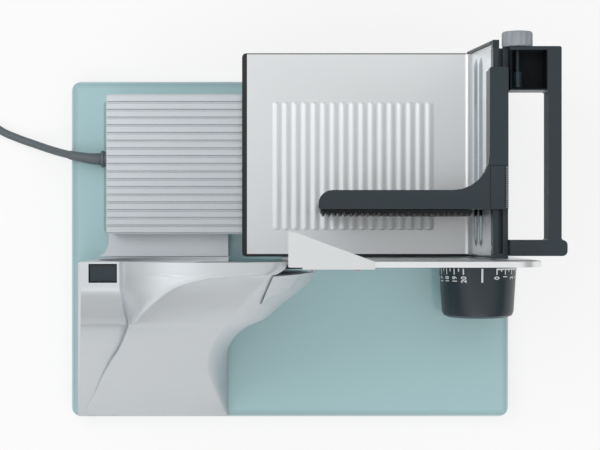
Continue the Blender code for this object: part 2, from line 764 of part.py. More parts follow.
additions = []
holes = []
rod_left = BED_LEFT + BED_WALL + ROD_BOSS_LENGTH
rod_right = BED_RIGHT - BED_WALL - ROD_BOSS_LENGTH
for start, end in ((BED_LEFT + SINK, rod_left), (rod_right, BED_RIGHT - SINK)):
    additions.append(turned([
        (0, start), (ROD_BOSS_RADIUS, start), (ROD_BOSS_RADIUS, end), (0, end)],
        "X", GUIDE_Y, GUIDE_Z, ROUND_SIDES))
socket_left = rod_left - ROD_SOCKET
socket_right = rod_right + ROD_SOCKET
rod_hole = ROD_RADIUS + SEAT
for start, end in ((socket_left - SEAT, rod_left + SINK), (rod_right - SINK, socket_right + SEAT)):
    holes.append(turned([(0, start), (rod_hole, start), (rod_hole, end), (0, end)],
                        "X", GUIDE_Y, GUIDE_Z, ROUND_SIDES))

boss_end = BED_NEAR + BED_WALL + PIN_BOSS_LENGTH
for x, z, outer, inner in (
        (PIN_X, PIN_Z, PIN_BOSS_RADIUS, PIN_RADIUS),
        (DIAL_X - PIN_DIAL_SPACING, PIN_Z, PIN_BOSS_RADIUS, PIN_RADIUS),
        (DIAL_X, DIAL_Z, LEAD_SCREW_BOSS, LEAD_SCREW_RADIUS)):
    start = BED_NEAR + SINK
    additions.append(turned([(0, start), (outer, start), (outer, boss_end), (0, boss_end)],
                            "Y", x, z, ROUND_SIDES))
    holes.append(turned([
        (0, BED_NEAR - OVERRUN), (inner + SEAT, BED_NEAR - OVERRUN),
        (inner + SEAT, boss_end + OVERRUN), (0, boss_end + OVERRUN)], "Y", x, z, ROUND_SIDES))

for x, y, height in BED_POSTS:
    additions.append(screw_post(x, y, height))

holes.append(block(DUCT_X - DUCT_HALF, DUCT_X + DUCT_HALF, bridge_end - OVERRUN,
                   bridge_end + BED_WALL + OVERRUN, DECK - OVERRUN, DECK + DUCT_HEIGHT))

bracket_left = BRACKET_X - BRACKET_WIDTH / 2
bracket_right = BRACKET_X + BRACKET_WIDTH / 2
holes.append(block(bracket_left - CARRIAGE_TRAVEL - SLOT_END_MARGIN, bracket_right + SLOT_END_MARGIN,
                   BED_FAR - BED_WALL - OVERRUN, BED_FAR + OVERRUN,
                   GUIDE_Z - BRACKET_ARM / 2 - SLOT_MARGIN, GUIDE_Z + BRACKET_ARM / 2 + SLOT_MARGIN))

cord_z = DECK + CORD_RISE
outside = BED_LEFT - BED_FLARE - OVERRUN
inside = BED_LEFT + BED_WALL + OVERRUN
holes.append(turned([(0, outside), (GLAND_RADIUS + SEAT, outside), (GLAND_RADIUS + SEAT, inside),
                     (0, inside)], "X", CORD_Y, cord_z, ROUND_SIDES))
join(bed, merged(*additions))
cut(bed, merged(*holes))


# Motor housing: sections across its depth, from the rim at the blade to the low front.
# Depths are shares of its depth, places across are shares of its width from the left foot,
# and heights are shares of its height over the glass.
DEPTH_SHARES = (0, 0.038, 0.064, 0.08, 0.13, 0.185, 0.246, 0.327, 0.39, 0.473, 0.565, 0.656,
                0.769, 0.883, 1)
SHOULDER_HEIGHT_SHARES = (0.905, 0.905, 0.905, 0.905, 0.905, 0.905, 0.904, 0.895, 0.855, 0.745,
                          0.605, 0.469, 0.297, 0.143, 0.0164)
BLOCK_DROP_SHARES = (0, 0, 0, 0, 0, 0.018, 0.043, 0.071, 0.073, 0.057, 0.045, 0.037, 0.025,
                     0.013, 0)
CREASE_SHARES = (0.491, 0.491, 0.492, 0.492, 0.493, 0.497, 0.501, 0.510, 0.481, 0.428, 0.347,
                 0.275, 0.194, 0.113, 0.032)
CREST_SHARES = (1.345, 1.325, 1.28, 1.01, 0.799, 0.703, 0.627, 0.545, 0.49, 0.43, 0.35, 0.28,
                0.20, 0.12, 0.04)
BROW_SHARES = (1.370, 1.352, 1.318, 1.298, 1.252, 1.196, 1.141, 1.071, 1.023, 0.964, 0.923,
               0.903, 0.917, 0.949, 0.986)
BROW_HEIGHT_SHARES = (0.938, 0.944, 0.949, 0.939, 0.913, 0.882, 0.850, 0.787, 0.705, 0.592,
                      0.465, 0.342, 0.206, 0.097, 0.0154)
FLANK_SHARES = (1.600, 1.600, 1.587, 1.574, 1.531, 1.462, 1.375, 1.276, 1.150, 1.065, 1.018,
                1.004, 1, 1, 1)
FLANK_HEIGHT_SHARES = (0.583, 0.583, 0.583, 0.583, 0.583, 0.583, 0.583, 0.583, 0.500, 0.370,
                       0.242, 0.129, 0.052, 0.020, 0.0064)
CREST_END_SHARE = 0.34
CREST_GAP_SHARE = 0.03
ROUND_MOST_SHARE = 0.45
VALLEY_SHARES = (0.16, 0.33, 0.50, 0.67, 0.84, 1)
FACE_SHARES = (0.2, 0.4, 0.6, 0.8, 1)
SIDE_SHARES = (0.25, 0.5, 0.75, 1)
CORNER_SHARES = (0.25, 0.5, 0.75, 1)
UNDERCUT_SHARES = ((0.81, 0.49), (0.41, 0.19), (0.07, 0.04), (0, -0.12))
NECK_SHARE = 0.35
FLANK_BULGE_SHARE = 0.36
CORE_SHARES = (0.62, 0.45)
SLOPE_SHARE = 0.7
DEFLECTOR_SHARES = ((1.333, 0.074), (1.498, 0.070), (1.438, 0.152), (1.2585, 0.235))
DEFLECTOR_LOW_SHARE = 0.60
DEFLECTOR_SECTIONS = 25


def soft_corner(before, corner, after):
    """Points of a curve that rounds a corner between two places."""
    points = []
    for part in CORNER_SHARES:
        back = (1 - part) ** 2
        middle = 2 * part * (1 - part)
        points.append((back * before[0] + middle * corner[0] + part * part * after[0],
                       back * before[1] + middle * corner[1] + part * part * after[1]))
    return points


def housing_section(depth):
    """Outline of the housing at a share of its depth, from the left foot over the top."""
    def across(values):
        return HOUSING_LEFT + HOUSING_WIDTH * blend_table(DEPTH_SHARES, values, depth)

    def up(values):
        return DECK + HOUSING_HEIGHT * blend_table(DEPTH_SHARES, values, depth)

    def drum(x):
        return BLADE_Z + math.sqrt(max(0, RIM_RADIUS ** 2 - (x - BLADE_X) ** 2))

    face_left = up(SHOULDER_HEIGHT_SHARES)
    shoulder = face_left - HOUSING_HEIGHT * blend_table(DEPTH_SHARES, BLOCK_DROP_SHARES, depth)
    left = HOUSING_LEFT + LEFT_LEAN_SHARE * (shoulder - DECK)
    crease = across(CREASE_SHARES)
    step = min(VALLEY_STEP, 0.3 * (shoulder - DECK))
    face_z = min(drum(crease), face_left - step)
    crease_z = min(drum(crease), shoulder - step)
    crest = max(across(CREST_SHARES), crease + CREST_GAP_SHARE * HOUSING_WIDTH)
    brow = across(BROW_SHARES)
    brow_z = up(BROW_HEIGHT_SHARES)
    flank = across(FLANK_SHARES)
    flank_z = up(FLANK_HEIGHT_SHARES)

    def face_line(x):
        return face_z + (brow_z - face_z) * (x - crease) / (brow - crease)

    def arc(x):
        if depth <= CREST_END_SHARE:
            return drum(x)
        return min(drum(x), face_line(x))

    def valley(x):
        near = 1 - (x - crease) / (crest - crease)
        return arc(x) - (arc(crease) - crease_z) * near ** VALLEY_CURVE

    crest_z = arc(crest)
    crest_round = min(CREST_ROUND, ROUND_MOST_SHARE * (crest - crease),
                      ROUND_MOST_SHARE * (brow - crest))
    brow_round = min(BROW_ROUND, ROUND_MOST_SHARE * (brow - crest))

    def face(x):
        return crest_z + (brow_z - crest_z) * (x - crest) / (brow - crest)

    def side(part):
        turn = part * math.pi / 2
        over = part * (1 - FLANK_BULGE_SHARE) + math.sin(turn) * FLANK_BULGE_SHARE
        down = part * (1 - FLANK_BULGE_SHARE) + (1 - math.cos(turn)) * FLANK_BULGE_SHARE
        return brow + (flank - brow) * over, brow_z + (flank_z - brow_z) * down

    points = [(HOUSING_LEFT, DECK), ((HOUSING_LEFT + left) / 2, (DECK + shoulder) / 2),
              (left, shoulder), ((left + crease - step) / 2, shoulder), (crease - step, shoulder),
              (crease, crease_z)]
    valley_end = crest - crest_round
    for part in VALLEY_SHARES:
        x = crease + (valley_end - crease) * part
        points.append((x, valley(x)))
    points += soft_corner((valley_end, valley(valley_end)), (crest, crest_z),
                          (crest + crest_round, face(crest + crest_round)))
    face_start = crest + crest_round
    face_end = brow - brow_round
    for part in FACE_SHARES:
        x = face_start + (face_end - face_start) * part
        points.append((x, face(x)))
    reach = math.hypot(flank - brow, flank_z - brow_z)
    side_start = min(brow_round / reach, ROUND_MOST_SHARE)
    points += soft_corner((face_end, face(face_end)), (brow, brow_z), side(side_start))
    for part in SIDE_SHARES:
        points.append(side(side_start + (1 - side_start) * part))
    neck_z = DECK + NECK_SHARE * (flank_z - DECK)
    for over, rise in UNDERCUT_SHARES:
        points.append((HOUSING_RIGHT + (flank - HOUSING_RIGHT) * over,
                       neck_z + (flank_z - neck_z) * rise))
    points.append((HOUSING_RIGHT, DECK))
    return points


def housing_loft(depths, inset):
    """Joins the housing's sections; an inset draws them in and lets them run out below."""
    rows = []
    for depth in depths:
        y = HOUSING_REAR - depth * HOUSING_DEPTH
        section = housing_section(depth)
        if inset:
            top = max(z for x, z in section)
            core_x = HOUSING_LEFT + CORE_SHARES[0] * HOUSING_WIDTH
            core_z = DECK + CORE_SHARES[1] * (top - DECK)
            drawn = []
            wall = inset * (1 + SLOPE_SHARE * depth)
            for x, z in section:
                reach = math.hypot(core_x - x, core_z - z)
                drawn.append((x + (core_x - x) * wall / reach, z + (core_z - z) * wall / reach))
            drawn[0] = (HOUSING_LEFT + inset, DECK - OVERRUN)
            drawn[-1] = (HOUSING_RIGHT - inset, DECK - OVERRUN)
            section = drawn
        rows.append([Vector((x, y, z)) for x, z in section])
    return loft(rows)


SECTION_SHARES = (0, 0.038, 0.064, 0.08, 0.1, 0.13, 0.185, 0.246, 0.285, 0.327, 0.36, 0.39, 0.43,
                  0.473, 0.52, 0.565, 0.61, 0.656, 0.71, 0.769, 0.825, 0.883, 0.945, 1)
cavity_start = (HOUSING_REAR - CAVITY_REAR) / HOUSING_DEPTH
CAVITY_END_SHARE = 0.825
inner_depths = [cavity_start] + [depth for depth in SECTION_SHARES
                                 if cavity_start < depth <= CAVITY_END_SHARE]
outer_depths = sorted(SECTION_SHARES + tuple(
    (one + two) / 2 for one, two in zip(SECTION_SHARES, SECTION_SHARES[1:])))
housing = add("motor_housing", housing_loft(outer_depths, 0), (HOUSING_LEFT, HOUSING_REAR, DECK),
              "casting")
cut(housing, housing_loft(inner_depths, HOUSING_WALL))
recess_start = HOUSING_REAR + OVERRUN
housing_holes = []
housing_holes.append(turned([
    (0, recess_start), (RECESS_RADIUS, recess_start), (RECESS_RADIUS, RECESS_FLOOR),
    (HUB_HOLE, RECESS_FLOOR), (HUB_HOLE, CAVITY_REAR - SINK), (0, CAVITY_REAR - SINK)],
    "Y", BLADE_X, BLADE_Z, RECESS_SIDES))
housing_holes.append(block(DUCT_X - DUCT_HALF, DUCT_X + DUCT_HALF, CAVITY_REAR - OVERRUN,
                           HOUSING_REAR + OVERRUN, DECK - OVERRUN, DECK + DUCT_HEIGHT))
shoulder_top = DECK + HOUSING_HEIGHT * SHOULDER_HEIGHT_SHARES[0]
shoulder_left = HOUSING_LEFT + LEFT_LEAN_SHARE * (shoulder_top - DECK)
shoulder_right = HOUSING_LEFT + CREASE_SHARES[0] * HOUSING_WIDTH - VALLEY_STEP
SWITCH_X = shoulder_left + SWITCH_X_SHARE * (shoulder_right - shoulder_left)
pocket_floor = shoulder_top - SWITCH_POCKET
pocket_rear = HOUSING_REAR - SWITCH_REAR_GAP
pocket_front = pocket_rear - SWITCH_WIDTH
half = SWITCH_LENGTH_SHARE * (shoulder_right - shoulder_left) / 2
tail_rear = pocket_front + SWITCH_TAIL / 2
tail_front = tail_rear - SWITCH_TAIL
tail_bottom = pocket_floor - SWITCH_TAIL_DROP
housing_holes.append(prism([
    (pocket_rear + SEAT, shoulder_top + OVERRUN), (pocket_rear + SEAT, pocket_floor),
    (tail_rear + SEAT, pocket_floor), (tail_rear + SEAT, tail_bottom - SEAT),
    (tail_front - OVERRUN, tail_bottom - SEAT), (tail_front - OVERRUN, pocket_floor),
    (pocket_front - SEAT, pocket_floor), (pocket_front - SEAT, shoulder_top + OVERRUN)],
    "X", SWITCH_X - half - SEAT, SWITCH_X + half + SEAT))
housing_holes.append(prism([
    (HOUSING_REAR + OVERRUN, DECK - OVERRUN), (HOUSING_REAR - REAR_DRAFT, DECK - OVERRUN),
    (HOUSING_REAR, shoulder_top - REAR_LIP), (HOUSING_REAR + OVERRUN, shoulder_top - REAR_LIP)],
    "X", HOUSING_LEFT - OVERRUN, BLADE_X - RIM_RADIUS - SEAT))
carrier_screws = (
    (MOTOR_X - 0.6 * CARRIER_MARGIN, BLADE_Z + 0.6 * CARRIER_MARGIN),
    (BLADE_X + 1.12 * CARRIER_MARGIN, BLADE_Z + 1.05 * CARRIER_MARGIN),
    (BLADE_X + 1.12 * CARRIER_MARGIN, BLADE_Z - 1.05 * CARRIER_MARGIN),
)
plate_rear = CAVITY_REAR - SEAT
plate_front = plate_rear - CARRIER_PLATE
screw_tip = CAVITY_REAR + 0.8 * RECESS_WALL
housing_holes += [turned([
    (0, CAVITY_REAR - OVERRUN), (CARRIER_SCREW_RADIUS + SEAT, CAVITY_REAR - OVERRUN),
    (CARRIER_SCREW_RADIUS + SEAT, screw_tip + SEAT), (0, screw_tip + SEAT)],
    "Y", x, z, SMALL_SIDES) for x, z in carrier_screws]
cut(housing, merged(*housing_holes))
join(housing, merged(*[screw_post(x, y, height) for x, y, height in HOUSING_POSTS[:2]]))
front_x, front_y = HOUSING_POSTS[2][:2]
cut(housing, turned([(0, DECK - OVERRUN), (BASE_SCREW_RADIUS + SEAT, DECK - OVERRUN),
                     (BASE_SCREW_RADIUS + SEAT, DECK + BASE_SCREW_REACH + SEAT),
                     (0, DECK + BASE_SCREW_REACH + SEAT)], "Z", front_x, front_y, SMALL_SIDES))

# Rocker switch: base in the pocket, rocker on its ridge
base_bottom = pocket_floor + SEAT
base_top = base_bottom + SWITCH_BASE_HEIGHT
pivot_z = base_top + SWITCH_PIVOT_RISE
switch_base = add("switch_base", block(SWITCH_X - half, SWITCH_X + half, pocket_front, pocket_rear,
                                       base_bottom, base_top), (SWITCH_X, pocket_rear, base_bottom),
                  "soft_black")
ridge = SWITCH_PIVOT_RISE
join(switch_base, prism([(SWITCH_X - ridge, base_top - SINK), (SWITCH_X + ridge, base_top - SINK),
                         (SWITCH_X, pivot_z)], "Y", pocket_front + SEAT, pocket_rear - SEAT))
join(switch_base, block(SWITCH_X - SWITCH_TAIL / 2, SWITCH_X + SWITCH_TAIL / 2, tail_front,
                        tail_rear, tail_bottom, base_bottom + SINK))
rocker_z = pivot_z + SEAT
rocker_end = half - RUNNING_GAP
add("switch_rocker", prism([
    (SWITCH_X - rocker_end, rocker_z), (SWITCH_X + rocker_end, rocker_z),
    (SWITCH_X + rocker_end, rocker_z + 0.8 * ROCKER_THICKNESS),
    (SWITCH_X - 0.45 * half, rocker_z + ROCKER_THICKNESS),
    (SWITCH_X - rocker_end, rocker_z + ROCKER_THICKNESS + 0.5 * ROCKER_RISE)], "Y",
    pocket_front + RUNNING_GAP, pocket_rear - RUNNING_GAP), (SWITCH_X, pocket_rear, rocker_z),
    "black_plastic")

# Slice deflector: a skin over the drum's right flank, a little clear of it
deflector = add("slice_deflector", prism([
    (HOUSING_LEFT + across * HOUSING_WIDTH, HOUSING_REAR - depth * HOUSING_DEPTH)
    for across, depth in DEFLECTOR_SHARES], "Z", DECK + DEFLECTOR_LOW_SHARE * HOUSING_HEIGHT,
    DECK + HOUSING_HEIGHT + OVERRUN),
    (HOUSING_LEFT + DEFLECTOR_SHARES[0][0] * HOUSING_WIDTH,
     HOUSING_REAR - DEFLECTOR_SHARES[0][1] * HOUSING_DEPTH, BLADE_Z), "grey_plastic")
deflector_depths = outer_depths[:DEFLECTOR_SECTIONS]
shape(deflector, housing_loft(deflector_depths, -2 * SEAT - DEFLECTOR_THICKNESS), "INTERSECT")
cut(deflector, housing_loft(deflector_depths, -2 * SEAT))

# Blade, hub, centre lock, spindle and bearings
def behind(depth):
    """Y at a depth behind the cutting plane."""
    return CUT_Y - depth


blade_back = BLADE_DISH + BLADE_THICKNESS
land = BLADE_EDGE_LAND
add("blade", turned([
    (BLADE_BORE, behind(BLADE_DISH)), (0.40 * BLADE_RADIUS, behind(BLADE_DISH)),
    (0.90 * BLADE_RADIUS, behind(0.35 * BLADE_DISH)),
    (BLADE_RADIUS, behind(0)), (0.9985 * BLADE_RADIUS, behind(land)),
    (0.84 * BLADE_RADIUS, behind(0.85 * blade_back)), (0.62 * BLADE_RADIUS, behind(blade_back)),
    (BLADE_BORE, behind(blade_back))], "Y", BLADE_X, BLADE_Z, 2 * BLADE_TEETH, BLADE_TOOTH_DEPTH),
    (BLADE_X, CUT_Y, BLADE_Z), "blade_steel")

hub_rear = behind(blade_back + HUB_FRONT_GAP)
hub_front = hub_rear - HUB_THICKNESS
hub = add("blade_hub", turned([
    (0, hub_rear), (HUB_RADIUS, hub_rear), (HUB_RADIUS, hub_front), (0, hub_front)],
    "Y", BLADE_X, BLADE_Z, ROUND_SIDES), (BLADE_X, hub_rear, BLADE_Z), "zinc")
socket_floor = hub_front + HUB_SOCKET
shank_tip = hub_rear - 0.6 * (hub_rear - socket_floor)
cut(hub, merged(
    turned([(0, hub_front - OVERRUN), (SPINDLE_RADIUS + SEAT, hub_front - OVERRUN),
            (SPINDLE_RADIUS + SEAT, socket_floor), (0, socket_floor)],
           "Y", BLADE_X, BLADE_Z, ROUND_SIDES),
    turned([(0, hub_rear + OVERRUN), (LOCK_SHANK_RADIUS + SEAT, hub_rear + OVERRUN),
            (LOCK_SHANK_RADIUS + SEAT, shank_tip - SEAT), (0, shank_tip - SEAT)],
           "Y", BLADE_X, BLADE_Z, SMALL_SIDES)))

lock_seat = behind(BLADE_DISH) + SEAT
lock_face = lock_seat + LOCK_THICKNESS
lock = add("blade_lock", turned([
    (0, lock_face), (0.92 * LOCK_RADIUS, lock_face), (LOCK_RADIUS, lock_face - 0.3 * LOCK_THICKNESS),
    (LOCK_RADIUS, lock_seat), (LOCK_SHANK_RADIUS, lock_seat), (LOCK_SHANK_RADIUS, shank_tip),
    (0, shank_tip)], "Y", BLADE_X, BLADE_Z, ROUND_SIDES), (BLADE_X, lock_seat, BLADE_Z),
    "black_plastic")
cut(lock, block(BLADE_X - LOCK_SLOT_LENGTH / 2, BLADE_X + LOCK_SLOT_LENGTH / 2,
                lock_face - LOCK_SLOT_DEPTH, lock_face + OVERRUN,
                BLADE_Z - LOCK_SLOT_WIDTH / 2, BLADE_Z + LOCK_SLOT_WIDTH / 2))

wheel_rear = MOTOR_Y + WHEEL_WIDTH / 2
wheel_front = MOTOR_Y - WHEEL_WIDTH / 2
spindle_front = wheel_front - SEAT - NUT_THICKNESS * 0.7
add("blade_spindle", turned([
    (0, socket_floor - SEAT), (SPINDLE_RADIUS, socket_floor - SEAT), (SPINDLE_RADIUS, spindle_front),
    (0, spindle_front)], "Y", BLADE_X, BLADE_Z, ROUND_SIDES),
    (BLADE_X, socket_floor, BLADE_Z), "steel")


def ring(name, inner, outer, start, end, axis, first, second, kind, sides=ROUND_SIDES):
    """A plain ring along an axis."""
    return add(name, turned([(inner, start), (outer, start), (outer, end), (inner, end)],
                            axis, first, second, sides), place_at(axis, first, second, start), kind)


boss_front = wheel_rear + 3 * RUNNING_GAP
ring("bearing_rear", SPINDLE_RADIUS + SEAT, BUSH_RADIUS, plate_rear, plate_rear - BUSH_LENGTH,
     "Y", BLADE_X, BLADE_Z, "brass")
ring("bearing_front", SPINDLE_RADIUS + SEAT, BUSH_RADIUS, boss_front, boss_front + BUSH_LENGTH,
     "Y", BLADE_X, BLADE_Z, "brass")

nut = []
for side in range(6):
    angle = math.tau * side / 6
    nut.append((BLADE_X + NUT_RADIUS * math.cos(angle), BLADE_Z + NUT_RADIUS * math.sin(angle)))
nut_start = wheel_front - SEAT
spindle_nut = add("spindle_nut", prism(nut, "Y", nut_start, nut_start - NUT_THICKNESS),
                  (BLADE_X, nut_start, BLADE_Z), "zinc")
cut(spindle_nut, turned([
    (0, nut_start + OVERRUN), (SPINDLE_RADIUS + SEAT, nut_start + OVERRUN),
    (SPINDLE_RADIUS + SEAT, spindle_front - SEAT), (0, spindle_front - SEAT)],
    "Y", BLADE_X, BLADE_Z, ROUND_SIDES))

# Worm wheel: a gap between two teeth faces the worm
tip = GEAR_RADIUS + GEAR_MODULE - WHEEL_TIP_CUT
root = GEAR_RADIUS - 1.25 * GEAR_MODULE - WHEEL_ROOT_CUT
ROOT_TOOTH_SHARE = 0.62
TIP_TOOTH_SHARE = 0.24
teeth = []
for tooth in range(WHEEL_TEETH):
    middle = math.pi + math.tau * (tooth + 0.5) / WHEEL_TEETH
    step = math.tau / WHEEL_TEETH / 2
    for radius, share in ((root, -ROOT_TOOTH_SHARE), (tip, -TIP_TOOTH_SHARE),
                          (tip, TIP_TOOTH_SHARE), (root, ROOT_TOOTH_SHARE)):
        angle = middle + step * share
        teeth.append((BLADE_X + radius * math.cos(angle), BLADE_Z + radius * math.sin(angle)))
wheel = add("worm_wheel", prism(teeth, "Y", wheel_rear, wheel_front),
            (BLADE_X, wheel_rear, BLADE_Z), "white_plastic")
cut(wheel, turned([
    (0, wheel_rear + OVERRUN), (SPINDLE_RADIUS + SEAT, wheel_rear + OVERRUN),
    (SPINDLE_RADIUS + SEAT, wheel_front - OVERRUN), (0, wheel_front - OVERRUN)],
    "Y", BLADE_X, BLADE_Z, ROUND_SIDES))

# Worm on the motor's shaft: a core, two journals and one thread that winds round it
lead = math.pi * GEAR_MODULE
worm_half = WORM_TURNS * lead / 2
core_half = worm_half + lead
shaft_low = MOTOR_TOP - MOTOR_SHAFT_SOCKET + 2 * SEAT
lug_bottom = BLADE_Z + core_half + 2 * SEAT + RUNNING_GAP
shaft_high = lug_bottom + WORM_LUG
worm = add("motor_worm", turned([
    (0, shaft_low), (MOTOR_SHAFT_RADIUS, shaft_low), (MOTOR_SHAFT_RADIUS, BLADE_Z - core_half),
    (WORM_CORE, BLADE_Z - core_half), (WORM_CORE, BLADE_Z + core_half),
    (MOTOR_SHAFT_RADIUS, BLADE_Z + core_half), (MOTOR_SHAFT_RADIUS, shaft_high), (0, shaft_high)],
    "Z", MOTOR_X, MOTOR_Y, SMALL_SIDES), (MOTOR_X, MOTOR_Y, BLADE_Z), "steel")
THREAD_BASE_SHARE = 0.30
THREAD_TIP_SHARE = 0.13
THREAD_TURN_SHARE = 0.035
thread = []
steps = WORM_TURNS * SMALL_SIDES
for step in range(steps + 1):
    turn = (step + THREAD_TURN_SHARE * SMALL_SIDES) / SMALL_SIDES - WORM_TURNS / 2
    angle = math.tau * turn
    z = BLADE_Z + lead * turn
    corners = []
    for radius, rise in ((0.85 * WORM_CORE, -THREAD_BASE_SHARE * lead),
                         (WORM_TIP, -THREAD_TIP_SHARE * lead), (WORM_TIP, THREAD_TIP_SHARE * lead),
                         (0.85 * WORM_CORE, THREAD_BASE_SHARE * lead)):
        corners.append(Vector((MOTOR_X + radius * math.cos(angle),
                               MOTOR_Y + radius * math.sin(angle), z + rise)))
    thread.append(corners)
join(worm, loft(thread))

# Gear carrier: plate on the housing's wall, boss for the spindle, shelf for the motor, lug
carrier_left = MOTOR_X - CARRIER_MARGIN
carrier_right = BLADE_X + 1.35 * CARRIER_MARGIN
shelf_bottom = MOTOR_TOP + SEAT
shelf_top = shelf_bottom + CARRIER_SHELF
plate_top = max(lug_bottom + WORM_LUG, BLADE_Z + 1.28 * CARRIER_MARGIN)
carrier = add("gear_carrier", block(carrier_left, carrier_right, plate_front, plate_rear,
                                    shelf_bottom, plate_top),
              (BLADE_X, plate_rear, BLADE_Z), "zinc")
join(carrier, merged(
    turned([(0, plate_front + SINK), (BOSS_RADIUS, plate_front + SINK), (BOSS_RADIUS, boss_front),
            (0, boss_front)], "Y", BLADE_X, BLADE_Z, ROUND_SIDES),
    block(carrier_left + SEAT, MOTOR_X + CARRIER_MARGIN, MOTOR_Y - CARRIER_MARGIN,
          plate_front + SINK, shelf_bottom + SEAT / 3, shelf_top),
    block(MOTOR_X - WORM_LUG_HALF, MOTOR_X + WORM_LUG_HALF, MOTOR_Y - WORM_LUG_HALF,
          plate_front + SINK, lug_bottom, lug_bottom + WORM_LUG)))
cut(carrier, merged(
    turned([(0, plate_rear + OVERRUN), (BUSH_RADIUS + SEAT, plate_rear + OVERRUN),
            (BUSH_RADIUS + SEAT, boss_front - OVERRUN), (0, boss_front - OVERRUN)],
           "Y", BLADE_X, BLADE_Z, ROUND_SIDES),
    turned([(0, shelf_bottom - OVERRUN), (MOTOR_NOSE_RADIUS + SEAT, shelf_bottom - OVERRUN),
            (MOTOR_NOSE_RADIUS + SEAT, shelf_top + OVERRUN), (0, shelf_top + OVERRUN)],
           "Z", MOTOR_X, MOTOR_Y, ROUND_SIDES),
    turned([(0, lug_bottom - OVERRUN), (WORM_BUSH_RADIUS + SEAT, lug_bottom - OVERRUN),
            (WORM_BUSH_RADIUS + SEAT, lug_bottom + WORM_LUG + OVERRUN),
            (0, lug_bottom + WORM_LUG + OVERRUN)], "Z", MOTOR_X, MOTOR_Y, ROUND_SIDES),
    *[turned([(0, plate_rear + OVERRUN), (CARRIER_SCREW_RADIUS + SEAT, plate_rear + OVERRUN),
              (CARRIER_SCREW_RADIUS + SEAT, plate_front - OVERRUN), (0, plate_front - OVERRUN)],
             "Y", x, z, SMALL_SIDES) for x, z in carrier_screws]))
ring("worm_bearing", MOTOR_SHAFT_RADIUS + SEAT, WORM_BUSH_RADIUS, lug_bottom,
     lug_bottom + WORM_LUG, "Z", MOTOR_X, MOTOR_Y, "brass", SMALL_SIDES)
for number, (x, z) in enumerate(carrier_screws, 1):
    head = plate_front - SEAT
    add(f"carrier_screw_{number}", turned([
        (0, screw_tip), (CARRIER_SCREW_RADIUS, screw_tip), (CARRIER_SCREW_RADIUS, head),
        (CARRIER_SCREW_HEAD, head), (0.8 * CARRIER_SCREW_HEAD, head - CARRIER_SCREW_HEAD_HEIGHT),
        (0, head - CARRIER_SCREW_HEAD_HEIGHT)], "Y", x, z, SMALL_SIDES), (x, head, z), "zinc")

nose_top = MOTOR_TOP + MOTOR_NOSE
motor_bottom = MOTOR_TOP - MOTOR_LENGTH
add("motor", turned([
    (0, motor_bottom), (0.9 * MOTOR_RADIUS, motor_bottom),
    (MOTOR_RADIUS, motor_bottom + 0.1 * MOTOR_RADIUS), (MOTOR_RADIUS, MOTOR_TOP - 0.1 * MOTOR_RADIUS),
    (0.9 * MOTOR_RADIUS, MOTOR_TOP), (MOTOR_NOSE_RADIUS, MOTOR_TOP), (MOTOR_NOSE_RADIUS, nose_top),
    (MOTOR_SHAFT_RADIUS + SEAT, nose_top), (MOTOR_SHAFT_RADIUS + SEAT, MOTOR_TOP -
                                            MOTOR_SHAFT_SOCKET),
    (0, MOTOR_TOP - MOTOR_SHAFT_SOCKET)], "Z", MOTOR_X, MOTOR_Y, ROUND_SIDES),
    (MOTOR_X, MOTOR_Y, motor_bottom), "zinc")

# Stop plate that sets the slice thickness: blade arc on its left, cut corners on its right
stop_arc = BLADE_RADIUS + STOP_BLADE_GAP
arc_start = math.acos((STOP_LEFT - BLADE_X) / stop_arc)
arc_end = -math.asin(STOP_ARC_END_SHARE)
outline = [(STOP_LEFT, STOP_TOP)]
for step in range(ARC_STEPS + 1):
    angle = arc_start + (arc_end - arc_start) * step / ARC_STEPS
    outline.append((BLADE_X + stop_arc * math.cos(angle), BLADE_Z + stop_arc * math.sin(angle)))
outline += [(outline[-1][0], STOP_BOTTOM), (STOP_RIGHT, STOP_BOTTOM), (STOP_RIGHT, STOP_TOP)]
radii = [0] * (len(outline) - 3) + [STOP_FOOT_CORNER, STOP_FOOT_CORNER, STOP_CORNER]
stop = add("stop_plate", prism(rounded(outline, radii, 6), "Y", STOP_FRONT, STOP_REAR),
           (DIAL_X, STOP_FRONT, DIAL_Z), "casting")
pin_seat = STOP_REAR + STOP_THICKNESS * 0.3
pins = [(PIN_X, PIN_Z), (DIAL_X - PIN_DIAL_SPACING, PIN_Z)]
guard_top = STOP_TOP + SEAT + GUARD_THICKNESS
guard_screw_z = guard_top - GUARD_FLANGE * 0.75
guard_screws = [GUARD_LEFT + GUARD_LENGTH * share for share in GUARD_SCREW_SHARES]
stop_holes = [turned([
    (0, STOP_FRONT + OVERRUN), (LEAD_SCREW_RADIUS + 2 * RUNNING_GAP, STOP_FRONT + OVERRUN),
    (LEAD_SCREW_RADIUS + 2 * RUNNING_GAP, STOP_REAR - OVERRUN), (0, STOP_REAR - OVERRUN)],
    "Y", DIAL_X, DIAL_Z, ROUND_SIDES)]
for x, z in pins:
    stop_holes.append(turned([
        (0, STOP_FRONT + OVERRUN), (PIN_RADIUS + SEAT, STOP_FRONT + OVERRUN),
        (PIN_RADIUS + SEAT, pin_seat - SEAT), (0, pin_seat - SEAT)], "Y", x, z, ROUND_SIDES))
screw_tip_y = STOP_REAR + STOP_THICKNESS * 0.6
for x in guard_screws:
    stop_holes.append(turned([
        (0, STOP_REAR - OVERRUN), (GUARD_SCREW_RADIUS + SEAT, STOP_REAR - OVERRUN),
        (GUARD_SCREW_RADIUS + SEAT, screw_tip_y + SEAT), (0, screw_tip_y + SEAT)],
        "Y", x, guard_screw_z, SMALL_SIDES))
cut(stop, merged(*stop_holes))

